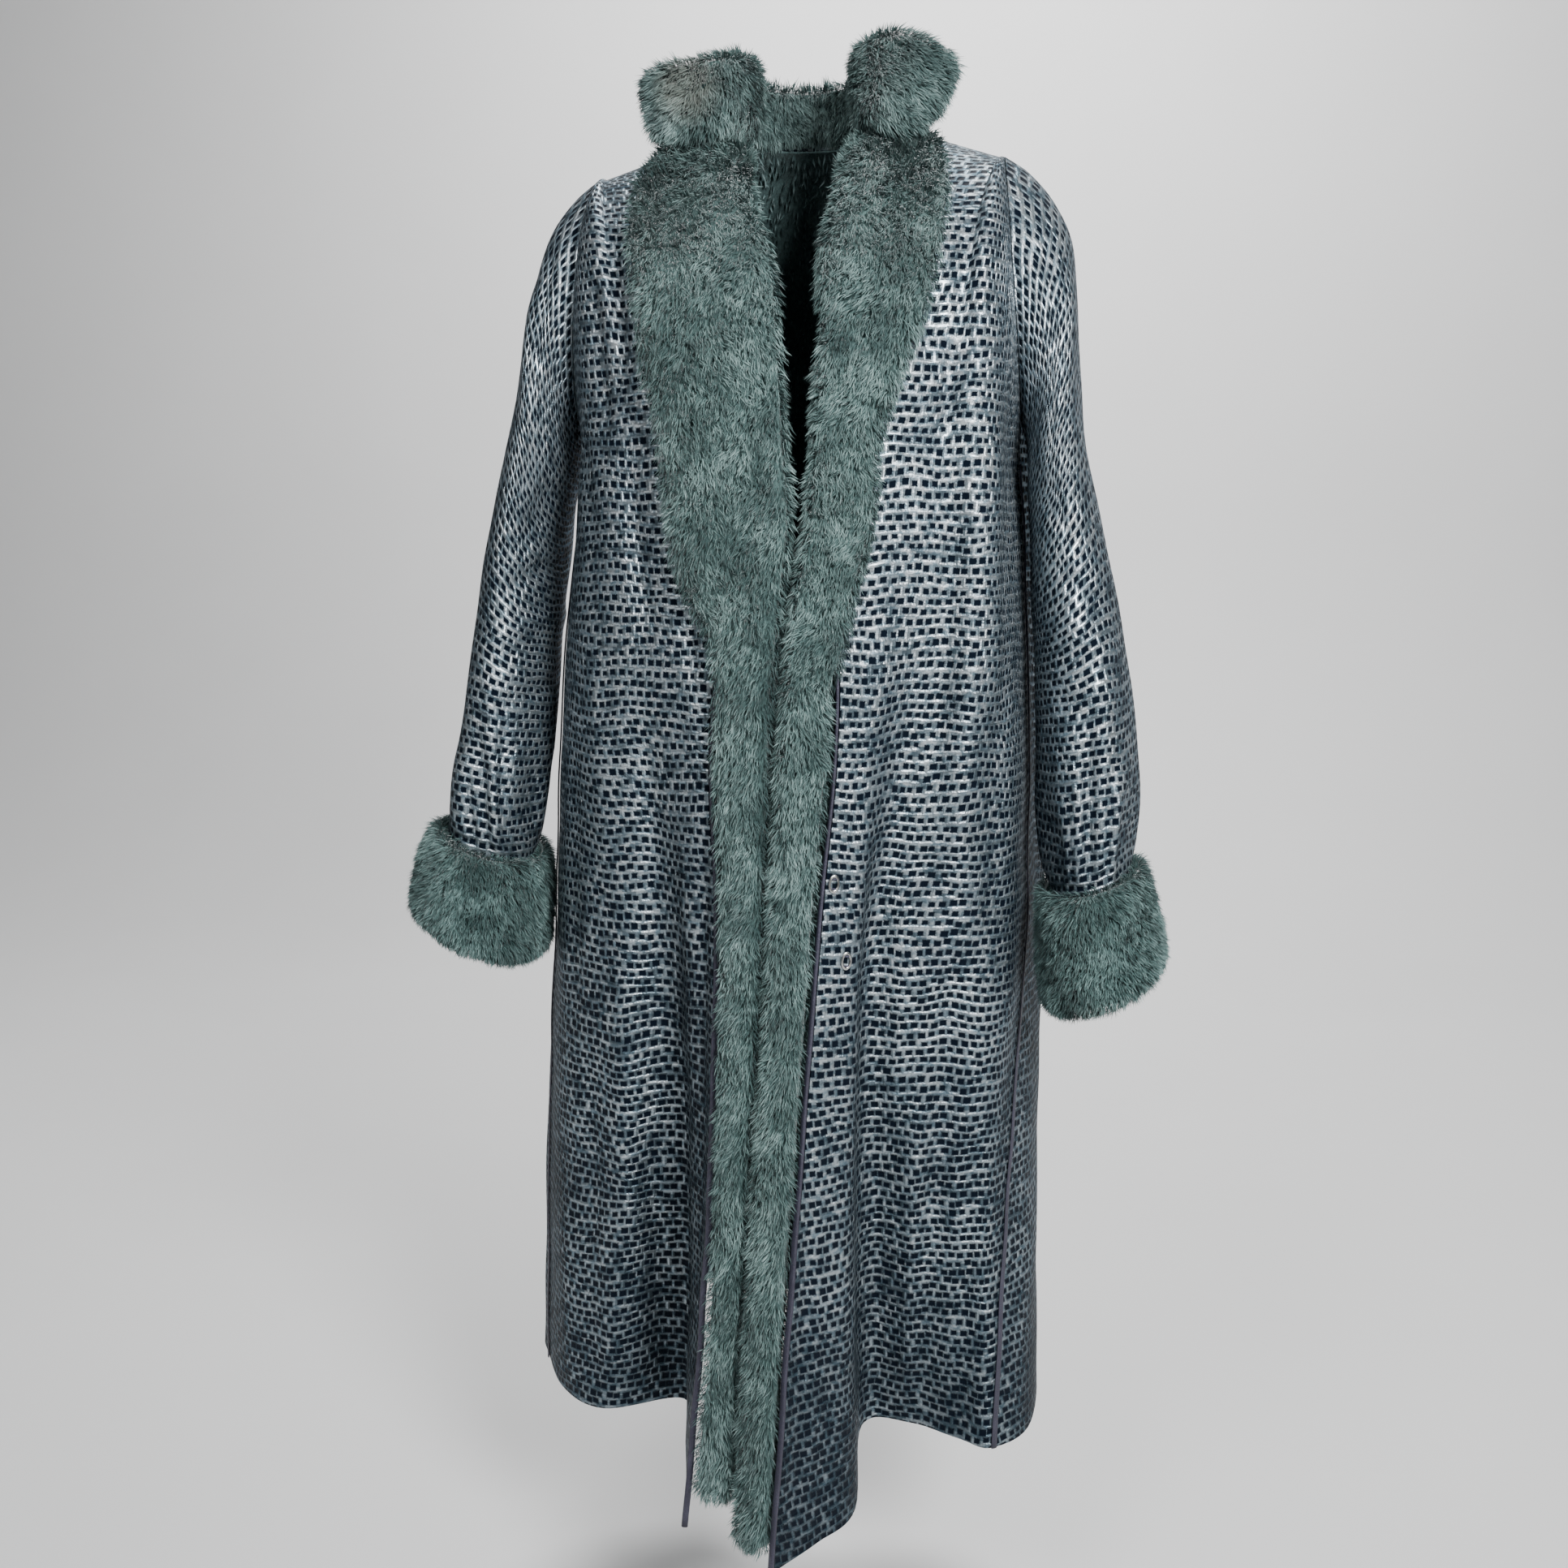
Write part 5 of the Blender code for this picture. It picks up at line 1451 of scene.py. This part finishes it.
# Lights: name, place, target, diameter and power.
LIGHTS = (
    ("key_light", (1.02, -1.72, 0.45), (0.06, 0.0, -0.25), 0.7, 72),
    ("fill_light", (-0.7, -1.9, 1.35), (0.0, 0.0, -0.25), 0.8, 22),
    ("backdrop_light", (0.0, 1.3, 2.2), (0.0, 3.4, -0.6), 1.5, 150),
)
SKY = (0.88, 0.94, 1.0, 1)
SKY_STRENGTH = 0.07
# The camera stands to one side by the first angle and looks down by the second one.
CAMERA_PLACE = (0.182, -1.418, -0.34)
CAMERA_TURN, CAMERA_DOWN = 8.0, 9.6
CAMERA_LENS = 34.78


class COAT_OT_stage(bpy.types.Operator):
    """Set the pale floor, the soft lights and the camera"""

    bl_idname = "coat.stage"
    bl_label = "Stage"

    def execute(self, context):
        finish = stage_finish()
        turn = np.linspace(0, pi / 2, 17)
        sweep = np.stack([2.2 + 1.2 * np.sin(turn), FLOOR_LEVEL + 1.2 - 1.2 * np.cos(turn)], 1)
        profile = np.concatenate([[(-6.0, FLOOR_LEVEL)], sweep, [(3.4, 4.5)]])
        sides = np.array((-7.0, 7.0))
        points = np.stack([np.repeat(sides[None], len(profile), 0), np.repeat(profile[:, :1], 2, 1),
                           np.repeat(profile[:, 1:], 2, 1)], axis=-1)
        quads, _ = grid_faces(len(profile), 2)
        floor = add_piece("floor", points.reshape(-1, 3), [quads[:, ::-1]], finish)
        for name, place, target, size, power in LIGHTS:
            lamp = bpy.data.lights.new(name, "AREA")
            lamp.shape = "DISK"
            lamp.size = size
            lamp.energy = power
            holder = bpy.data.objects.new(name, lamp)
            holder.matrix_world = looking(np.array(place), np.array(target) - np.array(place))
            context.scene.collection.objects.link(holder)
        world = bpy.data.worlds.new("studio")
        world.use_nodes = True
        world.node_tree.nodes["Background"].inputs[0].default_value = SKY
        world.node_tree.nodes["Background"].inputs[1].default_value = SKY_STRENGTH
        context.scene.world = world
        camera = bpy.data.cameras.new("camera")
        camera.lens = CAMERA_LENS
        camera.sensor_width = 36
        holder = bpy.data.objects.new("camera", camera)
        turn, pitch = radians(CAMERA_TURN), radians(CAMERA_DOWN)
        forward = np.array((-sin(turn) * cos(pitch), cos(turn) * cos(pitch), -sin(pitch)))
        holder.matrix_world = looking(np.array(CAMERA_PLACE), forward)
        context.scene.collection.objects.link(holder)
        context.scene.camera = holder
        return {"FINISHED"}


def looking(place, forward):
    """A placement at a point that looks along a direction, its top up."""
    forward = unit(np.asarray(forward, float))
    right = unit(np.cross(forward, (0, 0, 1)))
    up = np.cross(right, forward)
    matrix = np.eye(4)
    matrix[:3] = np.stack([right, up, -forward, place], axis=1)
    return Matrix(matrix.tolist())


class COAT_PT_panel(bpy.types.Panel):
    """The coat's steps and settings"""

    bl_idname = "COAT_PT_panel"
    bl_label = "Overcoat"
    bl_space_type = "VIEW_3D"
    bl_region_type = "UI"
    bl_category = "Overcoat"

    def draw(self, context):
        for step in STEPS:
            self.layout.operator(step.bl_idname)
        for group in (context.scene.coat_colours, context.scene.coat_sizes):
            for name in group.__annotations__:
                self.layout.prop(group, name)


STEPS = (COAT_OT_cloth, COAT_OT_sleeves, COAT_OT_lining, COAT_OT_fronts, COAT_OT_collar,
         COAT_OT_cuffs, COAT_OT_edging, COAT_OT_hooks, COAT_OT_stage)
CLASSES = (CoatColours, CoatSizes) + STEPS + (COAT_PT_panel,)


def register():
    """Register the classes and hang the settings on the scene."""
    for one in CLASSES:
        bpy.utils.register_class(one)
    bpy.types.Scene.coat_colours = bpy.props.PointerProperty(type=CoatColours)
    bpy.types.Scene.coat_sizes = bpy.props.PointerProperty(type=CoatSizes)


def unregister():
    """Take it all back."""
    del bpy.types.Scene.coat_sizes
    del bpy.types.Scene.coat_colours
    for one in reversed(CLASSES):
        bpy.utils.unregister_class(one)


def main():
    """Make every piece in order."""
    register()
    for step in STEPS:
        group, name = step.bl_idname.split(".")
        getattr(getattr(bpy.ops, group), name)()


if __name__ == "__main__":
    main()
